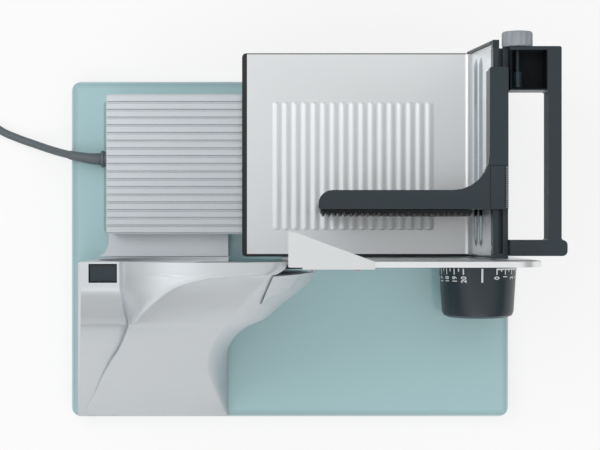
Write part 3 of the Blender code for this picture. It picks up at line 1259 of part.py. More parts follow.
for place, (x, z) in zip(("left", "right"), pins):
    add("stop_guide_pin_" + place, turned([
        (0, pin_seat), (PIN_RADIUS, pin_seat), (PIN_RADIUS, pin_seat + PIN_LENGTH),
        (0.8 * PIN_RADIUS, pin_seat + PIN_LENGTH + 0.2 * PIN_RADIUS),
        (0, pin_seat + PIN_LENGTH + 0.2 * PIN_RADIUS)], "Y", x, z, ROUND_SIDES),
        (x, pin_seat, z), "steel")

# Finger guard over the blade's top, a sheet piece with a flange behind the stop plate
guard_right = GUARD_LEFT + GUARD_LENGTH
flange_front = STOP_REAR - SEAT
flange_rear = flange_front - GUARD_THICKNESS
flange_left = GUARD_LEFT + GUARD_NEAR_INSET
guard_tip_y = STOP_REAR + SEAT + GUARD_DEPTH
guard = add("finger_guard", prism([
    (GUARD_LEFT, STOP_REAR + SEAT), (flange_left, STOP_REAR + SEAT), (flange_left, flange_rear),
    (guard_right, flange_rear), (guard_right, STOP_FRONT), (GUARD_LEFT + GUARD_TIP, guard_tip_y),
    (GUARD_LEFT, guard_tip_y)], "Z", STOP_TOP + SEAT, guard_top),
    (GUARD_LEFT, STOP_REAR, STOP_TOP), "steel")
join(guard, block(flange_left, guard_right, flange_rear, flange_front, guard_top - GUARD_FLANGE,
                  STOP_TOP + SEAT + GUARD_THICKNESS / 2))
cut(guard, merged(*[turned([
    (0, flange_front + OVERRUN), (GUARD_SCREW_RADIUS + SEAT, flange_front + OVERRUN),
    (GUARD_SCREW_RADIUS + SEAT, flange_rear - OVERRUN), (0, flange_rear - OVERRUN)],
    "Y", x, guard_screw_z, SMALL_SIDES) for x in guard_screws]))
for place, x in zip(("left", "right"), guard_screws):
    head = flange_rear - SEAT
    add("guard_screw_" + place, turned([
        (0, screw_tip_y), (GUARD_SCREW_RADIUS, screw_tip_y), (GUARD_SCREW_RADIUS, head),
        (GUARD_SCREW_HEAD, head), (0.7 * GUARD_SCREW_HEAD, head - GUARD_SCREW_HEAD_HEIGHT),
        (0, head - GUARD_SCREW_HEAD_HEIGHT)], "Y", x, guard_screw_z, SMALL_SIDES),
        (x, head, guard_screw_z), "zinc")

# Thickness dial on its fixed screw, with a bearing ring between it and the stop plate
dial_root = STOP_REAR - DIAL_GAP
dial_end = dial_root - DIAL_LENGTH
bore = LEAD_SCREW_RADIUS + 0.7 * RUNNING_GAP
round_start = dial_end + DIAL_ROUND
add("thickness_dial", turned([
    (0, dial_root - DIAL_BORE_DEPTH), (bore, dial_root - DIAL_BORE_DEPTH), (bore, dial_root),
    (DIAL_HUB_RADIUS, dial_root), (DIAL_HUB_RADIUS, dial_root - DIAL_HOLLOW_DEPTH),
    (DIAL_HOLLOW_RADIUS, dial_root - DIAL_HOLLOW_DEPTH), (DIAL_HOLLOW_RADIUS, dial_root),
    (DIAL_ROOT_RADIUS, dial_root), (DIAL_END_RADIUS, round_start),
    (DIAL_END_RADIUS - 0.25 * DIAL_ROUND, dial_end + 0.35 * DIAL_ROUND),
    (DIAL_END_RADIUS - DIAL_ROUND, dial_end), (0, dial_end)], "Y", DIAL_X, DIAL_Z, FINE_SIDES),
    (DIAL_X, dial_root, DIAL_Z), "soft_black")
ring("dial_bearing", LEAD_SCREW_RADIUS + 2 * RUNNING_GAP, DIAL_BUSH_RADIUS, STOP_REAR - SEAT,
     dial_root + SEAT, "Y", DIAL_X, DIAL_Z, "white_plastic")
screw_end = dial_root - DIAL_BORE_DEPTH + 2.5 * RUNNING_GAP
add("lead_screw", turned([
    (0, boss_end), (LEAD_SCREW_RADIUS, boss_end), (LEAD_SCREW_RADIUS, screw_end), (0, screw_end)],
    "Y", DIAL_X, DIAL_Z, ROUND_SIDES), (DIAL_X, boss_end, DIAL_Z), "steel")

# Carriage: frame plate, glide strip, tray sheet with beads and leaning wall
add("carriage_frame", prism(rounded(
    rectangle(CARRIAGE_LEFT, CARRIAGE_RIGHT, CARRIAGE_NEAR, CARRIAGE_FAR), CARRIAGE_CORNER, 3),
    "Z", FRAME_BOTTOM, FRAME_TOP), (CARRIAGE_LEFT, CARRIAGE_NEAR, FRAME_BOTTOM), "soft_black")
pad_near = BED_NEAR + PAD_OFFSET
add("glide_strip", block(CARRIAGE_LEFT + PAD_INSET, CARRIAGE_LEFT + PAD_INSET + PAD_LENGTH, pad_near,
                         pad_near + PAD_WIDTH, PAD_BOTTOM, PAD_BOTTOM + PAD_THICKNESS),
    (CARRIAGE_LEFT + PAD_INSET, pad_near, PAD_BOTTOM), "white_plastic")

tray_left = CARRIAGE_LEFT + TRAY_LEFT_MARGIN
tray_near = CARRIAGE_NEAR + TRAY_NEAR_MARGIN
tray_far = CARRIAGE_FAR - TRAY_FAR_MARGIN
thick = TRAY_THICKNESS
tray = add("carriage_tray", prism(rounded([
    (tray_left, TRAY_TOP), (CARRIAGE_RIGHT, TRAY_TOP), (wall_face(WALL_TOP), WALL_TOP),
    (wall_face(WALL_TOP, thick), WALL_TOP), (wall_face(TRAY_BOTTOM, thick), TRAY_BOTTOM),
    (tray_left, TRAY_BOTTOM)], [0, TRAY_BEND, 0, 0, TRAY_BEND + thick, 0], 5),
    "Y", tray_near, tray_far), (tray_left, tray_near, TRAY_BOTTOM), "steel")


def bead_section(x, height, inset):
    """A long rounded outline round one bead at a height."""
    half_width = BEAD_WIDTH / 2 - inset
    near = CARRIAGE_NEAR + BEAD_NEAR + inset
    far = near + BEAD_LENGTH - 2 * inset
    corner = half_width * 0.6
    return [Vector((x + u, v, height)) for u, v in (
        (-half_width + corner, near), (half_width - corner, near), (half_width, near + corner),
        (half_width, far - corner), (half_width - corner, far), (-half_width + corner, far),
        (-half_width, far - corner), (-half_width, near + corner))]


beads = []
for index in range(BEAD_COUNT):
    x = CARRIAGE_LEFT + BEAD_FIRST + index * BEAD_PITCH
    beads.append(loft([bead_section(x, TRAY_TOP - BEAD_HEIGHT / 2, -BEAD_SLOPE / 2),
                       bead_section(x, TRAY_TOP + BEAD_HEIGHT, BEAD_SLOPE)]))
join(tray, merged(*beads))
handle_screw_z = RAIL_BOTTOM + HANDLE_SCREW_RISE
handle_near = CARRIAGE_NEAR + HANDLE_INSET
handle_far = CARRIAGE_FAR - HANDLE_FAR_INSET
handle_screws = (handle_near + HANDLE_SCREW_INSET, handle_far - 2.75 * HANDLE_SCREW_INSET)


def screw_hole(y, start, end):
    return turned([(0, start), (HANDLE_SCREW_RADIUS + SEAT, start),
                   (HANDLE_SCREW_RADIUS + SEAT, end), (0, end)], "X", y, handle_screw_z, SMALL_SIDES)


cut(tray, merged(*[screw_hole(y, RAIL_LEFT, RAIL_RIGHT) for y in handle_screws]))

# Trim on the wall: rail along its top and a cap on each edge
rail_far = handle_far - SEAT / 3
cap_far = tray_far + SEAT + RAIL_CAP
trim = add("wall_trim", block(RAIL_LEFT, RAIL_RIGHT, CARRIAGE_NEAR, rail_far, RAIL_BOTTOM, RAIL_TOP),
           (RAIL_LEFT, CARRIAGE_NEAR, RAIL_BOTTOM), "black_plastic")
extension_right = RAIL_LEFT + RAIL_END_WIDTH
extension_top = RAIL_TOP - RAIL_SLOT_DEPTH - SEAT
cap_low = TRAY_BOTTOM + SEAT
cap_high = RAIL_BOTTOM + SINK
CAP_INSIDE_SHARE = 0.35


def cap_outline():
    inside = -CAP_INSIDE_SHARE * RAIL_CAP_WIDTH
    outside = (1 - CAP_INSIDE_SHARE) * RAIL_CAP_WIDTH
    return [(wall_face(cap_low, inside), cap_low), (wall_face(cap_low, outside), cap_low),
            (wall_face(cap_high, outside), cap_high), (wall_face(cap_high, inside), cap_high)]


join(trim, merged(
    block(RAIL_LEFT + SEAT, extension_right, rail_far - SINK, cap_far, RAIL_BOTTOM + SEAT,
          extension_top),
    prism(cap_outline(), "Y", CARRIAGE_NEAR + SEAT, CARRIAGE_NEAR + SEAT + RAIL_CAP - 2 * SEAT)))
join(trim, prism(cap_outline(), "Y", tray_far + SEAT, cap_far - SEAT / 2))
slot_top = WALL_TOP + SEAT
slot_low = RAIL_BOTTOM - OVERRUN
cut(trim, prism([
    (wall_face(slot_low, -SEAT), slot_low), (wall_face(slot_low, thick + SEAT), slot_low),
    (wall_face(slot_top, thick + SEAT), slot_top), (wall_face(slot_top, -SEAT), slot_top)],
    "Y", tray_near - SEAT, tray_far + SEAT))
slot_half = RAIL_SLOT_WIDTH / 2
head_seat = RAIL_LEFT + HANDLE_SCREW_HEAD_HEIGHT + SEAT
trim_holes = [block(KEY_X - slot_half, KEY_X + slot_half, CARRIAGE_NEAR + RAIL_SLOT_INSET,
                    rail_far + OVERRUN, RAIL_TOP - RAIL_SLOT_DEPTH, RAIL_TOP + OVERRUN)]
for y in handle_screws:
    trim_holes.append(turned([
        (0, RAIL_LEFT - OVERRUN), (HANDLE_SCREW_HEAD + SEAT, RAIL_LEFT - OVERRUN),
        (HANDLE_SCREW_HEAD + SEAT, head_seat), (HANDLE_SCREW_RADIUS + SEAT, head_seat),
        (HANDLE_SCREW_RADIUS + SEAT, RAIL_RIGHT + OVERRUN), (0, RAIL_RIGHT + OVERRUN)],
        "X", y, handle_screw_z, SMALL_SIDES))
cut(trim, merged(*trim_holes))

# Handle beside the wall, with a finger window and the lock screw's pocket
handle_left = RAIL_RIGHT + SEAT
handle_right = handle_left + HANDLE_REACH - SEAT
bar_right = handle_right - HANDLE_BAR_INSET
bar_left = bar_right - HANDLE_BAR
handle_bottom = RAIL_BOTTOM
handle_top = handle_bottom + HANDLE_HEIGHT
arm_far = handle_near + HANDLE_NEAR_ARM
block_near = handle_far - HANDLE_FAR_BLOCK
corner = HANDLE_CORNER
handle = add("carriage_handle", prism(rounded([
    (handle_left, handle_near), (handle_right, handle_near), (handle_right, arm_far),
    (bar_right, arm_far), (bar_right, handle_far), (handle_left, handle_far),
    (handle_left, block_near), (bar_left, block_near), (bar_left, arm_far), (handle_left, arm_far)],
    [0, HANDLE_END, HANDLE_END, corner, corner, 0, 0, corner, corner, 0], 4), "Z", handle_bottom,
    handle_top),
    (handle_left, handle_near, handle_bottom), "soft_black")
pocket_left = handle_left + POCKET_SIDE
pocket_right = bar_left - POCKET_SIDE
pocket_near = block_near + POCKET_SIDE
pocket_far = handle_far - POCKET_WALL
pocket_low = handle_bottom + POCKET_FLOOR
lock_x = handle_left + LOCK_INSET
lock_z = handle_bottom + LOCK_RISE
screw_stop = handle_left + HANDLE_SCREW_REACH
cut(handle, block(pocket_left, pocket_right, pocket_near, pocket_far, pocket_low,
                  handle_top + OVERRUN))
cut(handle, merged(
    turned([(0, pocket_far - OVERRUN), (LOCK_ROD_RADIUS + RUNNING_GAP, pocket_far - OVERRUN),
            (LOCK_ROD_RADIUS + RUNNING_GAP, handle_far + OVERRUN), (0, handle_far + OVERRUN)],
           "Y", lock_x, lock_z, SMALL_SIDES),
    *[screw_hole(y, handle_left - OVERRUN, screw_stop + SEAT) for y in handle_screws]))
for place, y in zip(("near", "far"), handle_screws):
    head = head_seat - SEAT
    add("handle_screw_" + place, turned([
        (0, head - HANDLE_SCREW_HEAD_HEIGHT), (0.8 * HANDLE_SCREW_HEAD, head -
                                               HANDLE_SCREW_HEAD_HEIGHT),
        (HANDLE_SCREW_HEAD, head - 0.4 * HANDLE_SCREW_HEAD_HEIGHT), (HANDLE_SCREW_HEAD, head),
        (HANDLE_SCREW_RADIUS, head), (HANDLE_SCREW_RADIUS, screw_stop), (0, screw_stop)],
        "X", y, handle_screw_z, SMALL_SIDES), (head, y, handle_screw_z), "steel")

# Lock screw through the handle's far wall, and its fluted knob
knob_near = handle_far + SEAT
knob_far = knob_near + LOCK_KNOB_LENGTH
rod_end = knob_near + 0.5 * LOCK_KNOB_LENGTH
add("lock_knob", turned([
    (0, rod_end + SEAT), (LOCK_ROD_RADIUS + SEAT, rod_end + SEAT), (LOCK_ROD_RADIUS + SEAT, knob_near),
    (0.95 * LOCK_KNOB_RADIUS, knob_near), (LOCK_KNOB_RADIUS, knob_near + 0.1 * LOCK_KNOB_LENGTH),
    (LOCK_KNOB_RADIUS, knob_far - 0.1 * LOCK_KNOB_LENGTH), (0.93 * LOCK_KNOB_RADIUS, knob_far),
    (0, knob_far)], "Y", lock_x, lock_z, 2 * LOCK_FLUTES, LOCK_KNOB_FLUTE),
    (lock_x, knob_near, lock_z), "grey_plastic")
collar_near = pocket_near + 1.5 * RUNNING_GAP
sleeve_far = collar_near + LOCK_COLLAR + LOCK_SLEEVE_LENGTH
add("lock_screw", turned([
    (0, collar_near), (LOCK_COLLAR_RADIUS, collar_near),
    (LOCK_COLLAR_RADIUS, collar_near + LOCK_COLLAR), (LOCK_SLEEVE_RADIUS, collar_near + LOCK_COLLAR),
    (LOCK_SLEEVE_RADIUS, sleeve_far), (LOCK_ROD_RADIUS, sleeve_far), (LOCK_ROD_RADIUS, rod_end),
    (0, rod_end)], "Y", lock_x, lock_z, SMALL_SIDES), (lock_x, knob_near, lock_z), "steel")

# Pusher: arm and saddle on the rail, web down to the tray, lip and key that guide it
saddle_bottom = RAIL_TOP + SEAT
pusher_top = saddle_bottom + PUSHER_TOP
saddle_right = RAIL_RIGHT - PUSHER_SADDLE_INSET
saddle_left = saddle_right - PUSHER_SADDLE_WIDTH
arm_left = saddle_right - PUSHER_ARM_LENGTH
arm_near = PUSHER_ARM_Y
arm_far_edge = arm_near + PUSHER_ARM_WIDTH
saddle_far = arm_near + PUSHER_SADDLE_LENGTH
pusher = add("pusher", prism(rounded([
    (arm_left, arm_near), (saddle_right, arm_near), (saddle_right, saddle_far),
    (saddle_left, saddle_far), (saddle_left, arm_far_edge), (arm_left, arm_far_edge)],
    [corner, 0, corner, corner, PUSHER_FILLET, PUSHER_END], 6), "Z", saddle_bottom, pusher_top),
    (KEY_X, arm_near, saddle_bottom), "soft_black")
web_low = TRAY_TOP + PUSHER_FLOAT
web_right = RAIL_LEFT - 1.2 * PUSHER_WALL_GAP
web_turn = TRAY_TOP + (web_right + PUSHER_WALL_GAP - CARRIAGE_RIGHT) * WALL_HEIGHT / WALL_LEAN
web_left = arm_left + corner
web_top = saddle_bottom + SINK
lip_right = RAIL_LEFT - 1.5 * SEAT
join(pusher, prism([
    (web_left, web_low), (wall_face(web_low) - PUSHER_WALL_GAP, web_low), (web_right, web_turn),
    (web_right, web_top), (web_left, web_top)], "Y", arm_near + SEAT / 2, arm_near + PUSHER_WEB))
join(pusher, block(lip_right - PUSHER_LIP, lip_right, arm_near + SEAT, saddle_far - corner,
                   RAIL_BOTTOM, web_top + SEAT / 2))
key_half = slot_half - SEAT
join(pusher, block(KEY_X - key_half, KEY_X + key_half, arm_near + SEAT, saddle_far - corner,
                   saddle_bottom - PUSHER_KEY_DEPTH, web_top + SEAT / 4))

teeth_far = arm_near - SEAT
teeth_base = teeth_far - TEETH_BACK
teeth_tip = teeth_far - TEETH_DEPTH
teeth_left = web_left + SEAT
teeth_right = wall_face(web_low) - PUSHER_WALL_GAP - TEETH_MARGIN
teeth_pitch = (teeth_right - teeth_left) / TEETH_COUNT
zigzag = [(teeth_left, teeth_far), (teeth_left, teeth_base)]
for index in range(TEETH_COUNT):
    left = teeth_left + index * teeth_pitch
    zigzag += [(left + teeth_pitch / 2, teeth_tip), (left + teeth_pitch, teeth_base)]
zigzag.append((teeth_right, teeth_far))
teeth_low = web_low + TEETH_LIFT
add("pusher_teeth", prism(zigzag, "Z", teeth_low, teeth_low + TEETH_HEIGHT),
    (teeth_left, teeth_far, teeth_low), "black_plastic")

# Guide rod inside the bed, and the bracket that runs on it under the carriage
add("guide_rod", turned([
    (0, socket_left), (ROD_RADIUS, socket_left), (ROD_RADIUS, socket_right), (0, socket_right)],
    "X", GUIDE_Y, GUIDE_Z, ROUND_SIDES), (socket_left, GUIDE_Y, GUIDE_Z), "steel")
ring("guide_bush", ROD_RADIUS + SEAT, GUIDE_BUSH_RADIUS, BRACKET_X - GUIDE_BUSH_LENGTH / 2,
     BRACKET_X + GUIDE_BUSH_LENGTH / 2, "X", GUIDE_Y, GUIDE_Z, "brass")
bracket_top = FRAME_BOTTOM - SEAT
plate_near = BED_FAR + BRACKET_OFFSET
arm_low = GUIDE_Z - BRACKET_ARM / 2
bracket = add("carriage_bracket", prism([
    (GUIDE_Y - BRACKET_BLOCK, GUIDE_Z - BRACKET_BLOCK),
    (GUIDE_Y + BRACKET_BLOCK, GUIDE_Z - BRACKET_BLOCK), (GUIDE_Y + BRACKET_BLOCK, arm_low),
    (plate_near + BRACKET_PLATE, arm_low), (plate_near + BRACKET_PLATE, bracket_top - BRACKET_PLATE),
    (plate_near + BRACKET_FLANGE, bracket_top - BRACKET_PLATE),
    (plate_near + BRACKET_FLANGE, bracket_top), (plate_near, bracket_top),
    (plate_near, arm_low + BRACKET_ARM), (GUIDE_Y + BRACKET_BLOCK, arm_low + BRACKET_ARM),
    (GUIDE_Y + BRACKET_BLOCK, GUIDE_Z + BRACKET_BLOCK),
    (GUIDE_Y - BRACKET_BLOCK, GUIDE_Z + BRACKET_BLOCK)], "X", bracket_left, bracket_right),
    (BRACKET_X, GUIDE_Y, GUIDE_Z), "zinc")
cut(bracket, turned([
    (0, bracket_left - OVERRUN), (GUIDE_BUSH_RADIUS + SEAT, bracket_left - OVERRUN),
    (GUIDE_BUSH_RADIUS + SEAT, bracket_right + OVERRUN), (0, bracket_right + OVERRUN)],
    "X", GUIDE_Y, GUIDE_Z, ROUND_SIDES))

# Cord gland in the bed's left wall
gland_inside = BED_LEFT + BED_WALL + GLAND_INSIDE
gland_end = gland_inside - GLAND_LENGTH
add("cord_gland", turned([
    (0, gland_inside), (GLAND_RADIUS, gland_inside), (GLAND_RADIUS, gland_end + GLAND_FLANGE),
    (GLAND_FLANGE_RADIUS, gland_end + GLAND_FLANGE), (GLAND_FLANGE_RADIUS, gland_end),
    (0, gland_end)], "X", CORD_Y, cord_z, ROUND_SIDES), (gland_end, CORD_Y, cord_z), "cord_grey")


def smooth_route(route, count):
    """Reads evenly spaced points from one smooth curve through a route's points."""
    dense = []
    last = len(route) - 1
    for index in range(last):
        before = route[max(index - 1, 0)]
        start, end = route[index], route[index + 1]
        after = route[min(index + 2, last)]
        for step in range(12):
            t = step / 12
            dense.append(0.5 * (
                2 * start + (end - before) * t + (2 * before - 5 * start + 4 * end - after) * t ** 2
                + (3 * start - before - 3 * end + after) * t ** 3))
    dense.append(route[-1])
    run = [0]
    for one, two in zip(dense, dense[1:]):
        run.append(run[-1] + (two - one).length)
    points = []
    for index in range(count):
        along = run[-1] * index / (count - 1)
        place = min(int(np.searchsorted(run, along, side="right")) - 1, len(dense) - 2)
        share = (along - run[place]) / (run[place + 1] - run[place])
        points.append(dense[place].lerp(dense[place + 1], share))
    return points, run[-1]


def tube(name, points, radius, sides, kind):
    """A round cord along points, closed at both ends."""
    curve = bpy.data.curves.new(name, "CURVE")
    curve.dimensions = "3D"
    curve.bevel_depth = radius
    curve.bevel_resolution = sides
    curve.use_fill_caps = True
    spline = curve.splines.new("POLY")
    spline.points.add(len(points) - 1)
    origin = points[0]
    for target, point in zip(spline.points, points):
        target.co = (*(point - origin), 1)
    item = bpy.data.objects.new(name, curve)
    bpy.context.scene.collection.objects.link(item)
    item.parent = ROOT
    item.location = origin
    finish(item, kind)
    return item


# Mains cord from the gland over the glass edge and along the table
floor_z = CORD_RADIUS + CORD_FLOOR_GAP
glass_edge = -GLASS_LENGTH / 2
cord_route = [Vector((gland_end - SEAT, CORD_Y, cord_z)),
              Vector((gland_end - CORD_LEAD, CORD_Y + 2 * SEAT, cord_z - SEAT))]
cord_route += [Vector((glass_edge + along, CORD_Y + across, height)) for along, across, height in (
    (0.0007, 0.0033, 0.0240), (-0.0160, 0.0078, 0.0140), (-0.0337, 0.0137, 0.0058),
    (-0.0480, 0.0188, 0.0036), (-0.0620, 0.0253, 0.0034), (-0.0800, 0.0393, 0.0034),
    (-0.0960, 0.0548, 0.0034), (-0.1100, 0.0655, 0.0034), (-0.1220, 0.0711, 0.0034),
    (-0.1310, 0.0723, 0.0034), (-0.1377, 0.0723, 0.0034))]
cord_points, cord_length = smooth_route(cord_route, CORD_POINTS)
tube("cord", cord_points, CORD_RADIUS, 2, "cord_grey")
print("cord length", round(cord_length, 4))

# The length that lies out of the way: one tube in two layers, in to the middle and out again
plug_z = PLUG_HEIGHT / 2 + CORD_FLOOR_GAP


def coil_radius(turn):
    return COIL_INNER + COIL_PITCH * math.hypot(turn - COIL_TURNS / 2, COIL_REVERSE_SHARE)


def coil_height(turn):
    rise = (turn - COIL_TURNS / 2 + COIL_CLIMB_SHARE) / (2 * COIL_CLIMB_SHARE)
    rise = min(max(rise, 0), 1)
    return floor_z + COIL_LAYER * rise * rise * (3 - 2 * rise)


coil_start = cord_route[-1] - Vector((SEAT, 0, 0))
coil_centre_x = coil_start.x - 2 * CORD_RADIUS
coil_centre_y = coil_start.y - coil_radius(0)
coil_points = [coil_start, coil_start - Vector((CORD_RADIUS, 0, 0))]
for step in range(COIL_TURNS * COIL_POINTS + 1):
    turn = step / COIL_POINTS
    angle = math.pi / 2 + math.tau * turn
    coil_points.append(Vector((
        coil_centre_x + coil_radius(turn) * math.cos(angle),
        coil_centre_y + coil_radius(turn) * math.sin(angle), coil_height(turn))))
exit_point = coil_points[-1]
for share in (0.3, 0.65, 1):
    coil_points.append(exit_point - Vector((COIL_EXIT_RUN * share, 0, 0)))
for share in (0.25, 0.5, 0.75, 1):
    fall = share * share * (3 - 2 * share)
    coil_points.append(Vector((
        exit_point.x - COIL_EXIT_RUN - COIL_DROP_RUN * share, exit_point.y,
        exit_point.z + (plug_z - exit_point.z) * fall)))
coil_points.append(coil_points[-1] - Vector((2 * CORD_RADIUS, 0, 0)))
tube("cord_coil", coil_points, CORD_RADIUS, 1, "cord_grey")


def least_gap(points, radius, skip):
    """The least clear distance of a tube to itself, between pieces more than skip steps apart."""
    line = np.array([tuple(point) for point in points])
    fine = np.concatenate([line[:-1] + (line[1:] - line[:-1]) * share for share in (0, 0.5)])
    order = np.concatenate([np.arange(len(line) - 1), np.arange(len(line) - 1) + 0.5])
    apart = np.linalg.norm(fine[:, None, :] - fine[None, :, :], axis=2)
    apart[np.abs(order[:, None] - order[None, :]) < skip] = np.inf
    return float(apart.min()) - 2 * radius


coil_length = sum((two - one).length for one, two in zip(coil_points, coil_points[1:]))
print("coil's least gap to itself", round(least_gap(coil_points, CORD_RADIUS, 0.6 * COIL_POINTS), 5))
print("cord length", round(cord_length, 3), "coil length", round(coil_length, 3))

# Plug: flat body with two round pins
plug_start = coil_points[-1].x - SEAT
plug_y = coil_points[-1].y
body_start = plug_start - PLUG_TAIL
body_end = body_start - PLUG_LENGTH
plug_half = PLUG_WIDTH / 2
plug = add("mains_plug", prism(rounded([
    (body_start, plug_y - 0.45 * plug_half), (body_start, plug_y + 0.45 * plug_half),
    (body_start - 0.55 * PLUG_LENGTH, plug_y + plug_half), (body_end, plug_y + 0.86 * plug_half),
    (body_end, plug_y - 0.86 * plug_half), (body_start - 0.55 * PLUG_LENGTH, plug_y - plug_half)],
    [PLUG_CORNER, PLUG_CORNER, PLUG_SHOULDER, 1.5 * PLUG_CORNER, 1.5 * PLUG_CORNER,
     PLUG_SHOULDER], 3), "Z", plug_z - PLUG_HEIGHT / 2,
    plug_z + PLUG_HEIGHT / 2), (plug_start, plug_y, plug_z), "cord_grey")
additions = [turned([
    (0, plug_start), (0.8 * PLUG_TAIL_RADIUS, plug_start), (PLUG_TAIL_RADIUS, body_start - SINK),
    (0, body_start - SINK)], "X", plug_y, plug_z, ROUND_SIDES)]
for side in (-1, 1):
    pin_y = plug_y + side * PLUG_PIN_SPACING / 2
    pin_end = body_end - PLUG_PIN_LENGTH
    additions.append(turned([
        (0, body_end + SINK), (PLUG_PIN_RADIUS, body_end + SINK),
        (PLUG_PIN_RADIUS, pin_end + PLUG_PIN_RADIUS), (0.6 * PLUG_PIN_RADIUS, pin_end), (0, pin_end)],
        "X", pin_y, plug_z, SMALL_SIDES))
join(plug, merged(*additions))

# Leads inside: from the gland to the switch, and from the switch down to the motor
DOOR_SHARES = ((0.45, 0.09, 0.10), (0.85, 0.47, 0.60), (1, 0.96, 1))
MAINS_LEAD_SHARES = ((0.85, 0.29, -0.12), (0.62, 0.65, 0.19), (0.47, 0.65, 0.65), (0.40, 0.56, 1.27),
                     (0.37, 0.33, 1.83))
MOTOR_LEAD_SHARES = ((0.645, 0.42, 1.74), (0.81, 0.70, 1.13), (0.855, 0.97, 0.51), (0.90, 1.03, 0.13),
                     (0.955, 1.03, -0.05), (1.07, 1.03, -0.13))
TERMINAL_SHARES = ((0.37, 1), (0.03, 0.55), (0, 0))
lead_y = CAVITY_REAR - LEAD_RADIUS - 2 * RUNNING_GAP
lead_step = SWITCH_TAIL / 4 + SEAT
lead_top = tail_bottom - SEAT
leave = Vector((gland_inside + LEAD_LEAVE, CORD_Y, cord_z))
door = Vector((DUCT_X, BED_NEAR, DECK + DUCT_HEIGHT / 2))
motor_low = motor_bottom - SEAT
motor_side = MOTOR_X - MOTOR_RADIUS


def inside_housing(across, forward, up):
    """A place between the leaning wall and the motor, in motor radii forward and lengths up."""
    z = motor_bottom + up * MOTOR_LENGTH
    wall = HOUSING_LEFT + LEFT_LEAN_SHARE * (z - DECK) + 1.2 * HOUSING_WALL
    return Vector((wall + across * (motor_side - wall), CAVITY_REAR - forward * MOTOR_RADIUS, z))


mains_route = [Vector((gland_inside + SEAT, CORD_Y, cord_z)), leave]
mains_route += [Vector((leave.x + (door.x - leave.x) * across, leave.y + (door.y - leave.y) * along,
                        leave.z + (door.z - leave.z) * down)) for across, along, down in DOOR_SHARES]
mains_route.append(Vector((DUCT_X, CAVITY_REAR + 1.75 * RECESS_WALL, door.z)))
mains_route += [inside_housing(*place) for place in MAINS_LEAD_SHARES]
mains_route += [Vector((SWITCH_X - lead_step, lead_y - LEAD_SWAY, lead_top - LEAD_DROP)),
                Vector((SWITCH_X - lead_step, lead_y, lead_top))]
motor_route = [Vector((SWITCH_X + lead_step, lead_y, lead_top)),
               Vector((SWITCH_X + lead_step, lead_y - LEAD_SWAY, lead_top - LEAD_DROP))]
motor_route += [inside_housing(*place) for place in MOTOR_LEAD_SHARES]
motor_route += [Vector((MOTOR_X - MOTOR_TERMINAL - aside * LEAD_LOOP, MOTOR_Y,
                        motor_low - down * LEAD_LOOP))
                for aside, down in TERMINAL_SHARES]
for name, route in (("lead_mains", mains_route), ("lead_motor", motor_route)):
    lead_points, lead_length = smooth_route(route, LEAD_POINTS)
    tube(name, lead_points, LEAD_RADIUS, 2, "cord_grey")
    print(name, "length", round(lead_length, 3))

# The part's own bottom centre, without the cord, goes to the origin
CORD_NODES = ("cord", "cord_coil", "mains_plug", "cord_gland")
bpy.context.view_layer.update()
graph = bpy.context.evaluated_depsgraph_get()
low = Vector((math.inf, math.inf, math.inf))
high = -low
for item in ROOT.children:
    if item.hide_render or item.name in CORD_NODES:
        continue
    shown = item.evaluated_get(graph)
    for vert in shown.to_mesh().vertices:
        place = item.matrix_world @ vert.co
        low = Vector(map(min, low, place))
        high = Vector(map(max, high, place))
    shown.to_mesh_clear()
ROOT.location = (-(low.x + high.x) / 2, -(low.y + high.y) / 2, -low.z)
bpy.context.view_layer.update()
print("moved by", [round(value, 5) for value in ROOT.location])
print("size", [round(value, 4) for value in high - low])
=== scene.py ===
"""Electric food slicer on a glass base: looks, cord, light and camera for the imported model."""

import math

import bpy
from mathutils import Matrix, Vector


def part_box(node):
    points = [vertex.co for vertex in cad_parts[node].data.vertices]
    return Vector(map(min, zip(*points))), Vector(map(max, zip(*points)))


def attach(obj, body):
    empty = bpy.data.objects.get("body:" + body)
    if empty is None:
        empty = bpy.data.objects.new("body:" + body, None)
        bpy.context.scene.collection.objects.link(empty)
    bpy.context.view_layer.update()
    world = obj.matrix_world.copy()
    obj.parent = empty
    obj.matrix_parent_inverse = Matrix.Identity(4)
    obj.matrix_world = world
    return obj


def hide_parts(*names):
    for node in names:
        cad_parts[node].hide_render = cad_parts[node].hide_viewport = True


# The glass base's middle in the frame. The camera and the cord's route are measured from it
SHIFT = Vector((-0.010751, -0.011050, 0))

# Camera, straight above the slicer
CAMERA_HEIGHT = 1.200
CAMERA_X = 0.0083
CAMERA_Y = 0.0198
CAMERA_LENS = 86.04
CAMERA_SENSOR = 36

# Mains cord: its free run from the gland to the coil, the coil, and the sleeve at the gland
CORD_RADIUS = 0.0032
CORD_GAP = 0.0003
CORD_FLOOR = 0.0034
CORD_SMOOTH_STEPS = 12
CORD_BEVEL_STEPS = 5
CORD_ROUTE = (
    (-0.1543, 0.0737, 0.0271), (-0.1640, 0.0743, 0.0268), (-0.1793, 0.0770, 0.0240),
    (-0.1960, 0.0815, 0.0140), (-0.2137, 0.0874, 0.0058), (-0.2280, 0.0925, 0.0036),
    (-0.2420, 0.0990, 0.0034), (-0.2600, 0.1130, 0.0034), (-0.2760, 0.1285, 0.0034),
    (-0.2900, 0.1392, 0.0034), (-0.3020, 0.1448, 0.0034), (-0.3110, 0.1460, 0.0034),
    (-0.3177, 0.1460, 0.0034))
COIL_TURNS = 5
COIL_POINTS = 36
COIL_INNER = 0.0270
COIL_PITCH = 0.0076
COIL_LAYER = 0.0074
COIL_REVERSE_SHARE = 0.15
COIL_CLIMB_SHARE = 0.25
COIL_EXIT_RUN = 0.025
COIL_EXIT_SHARES = (0.3, 0.65, 1)
COIL_DROP_RUN = 0.030
COIL_DROP_SHARES = (0.25, 0.5, 0.75, 1)
SLEEVE_LENGTH = 0.026
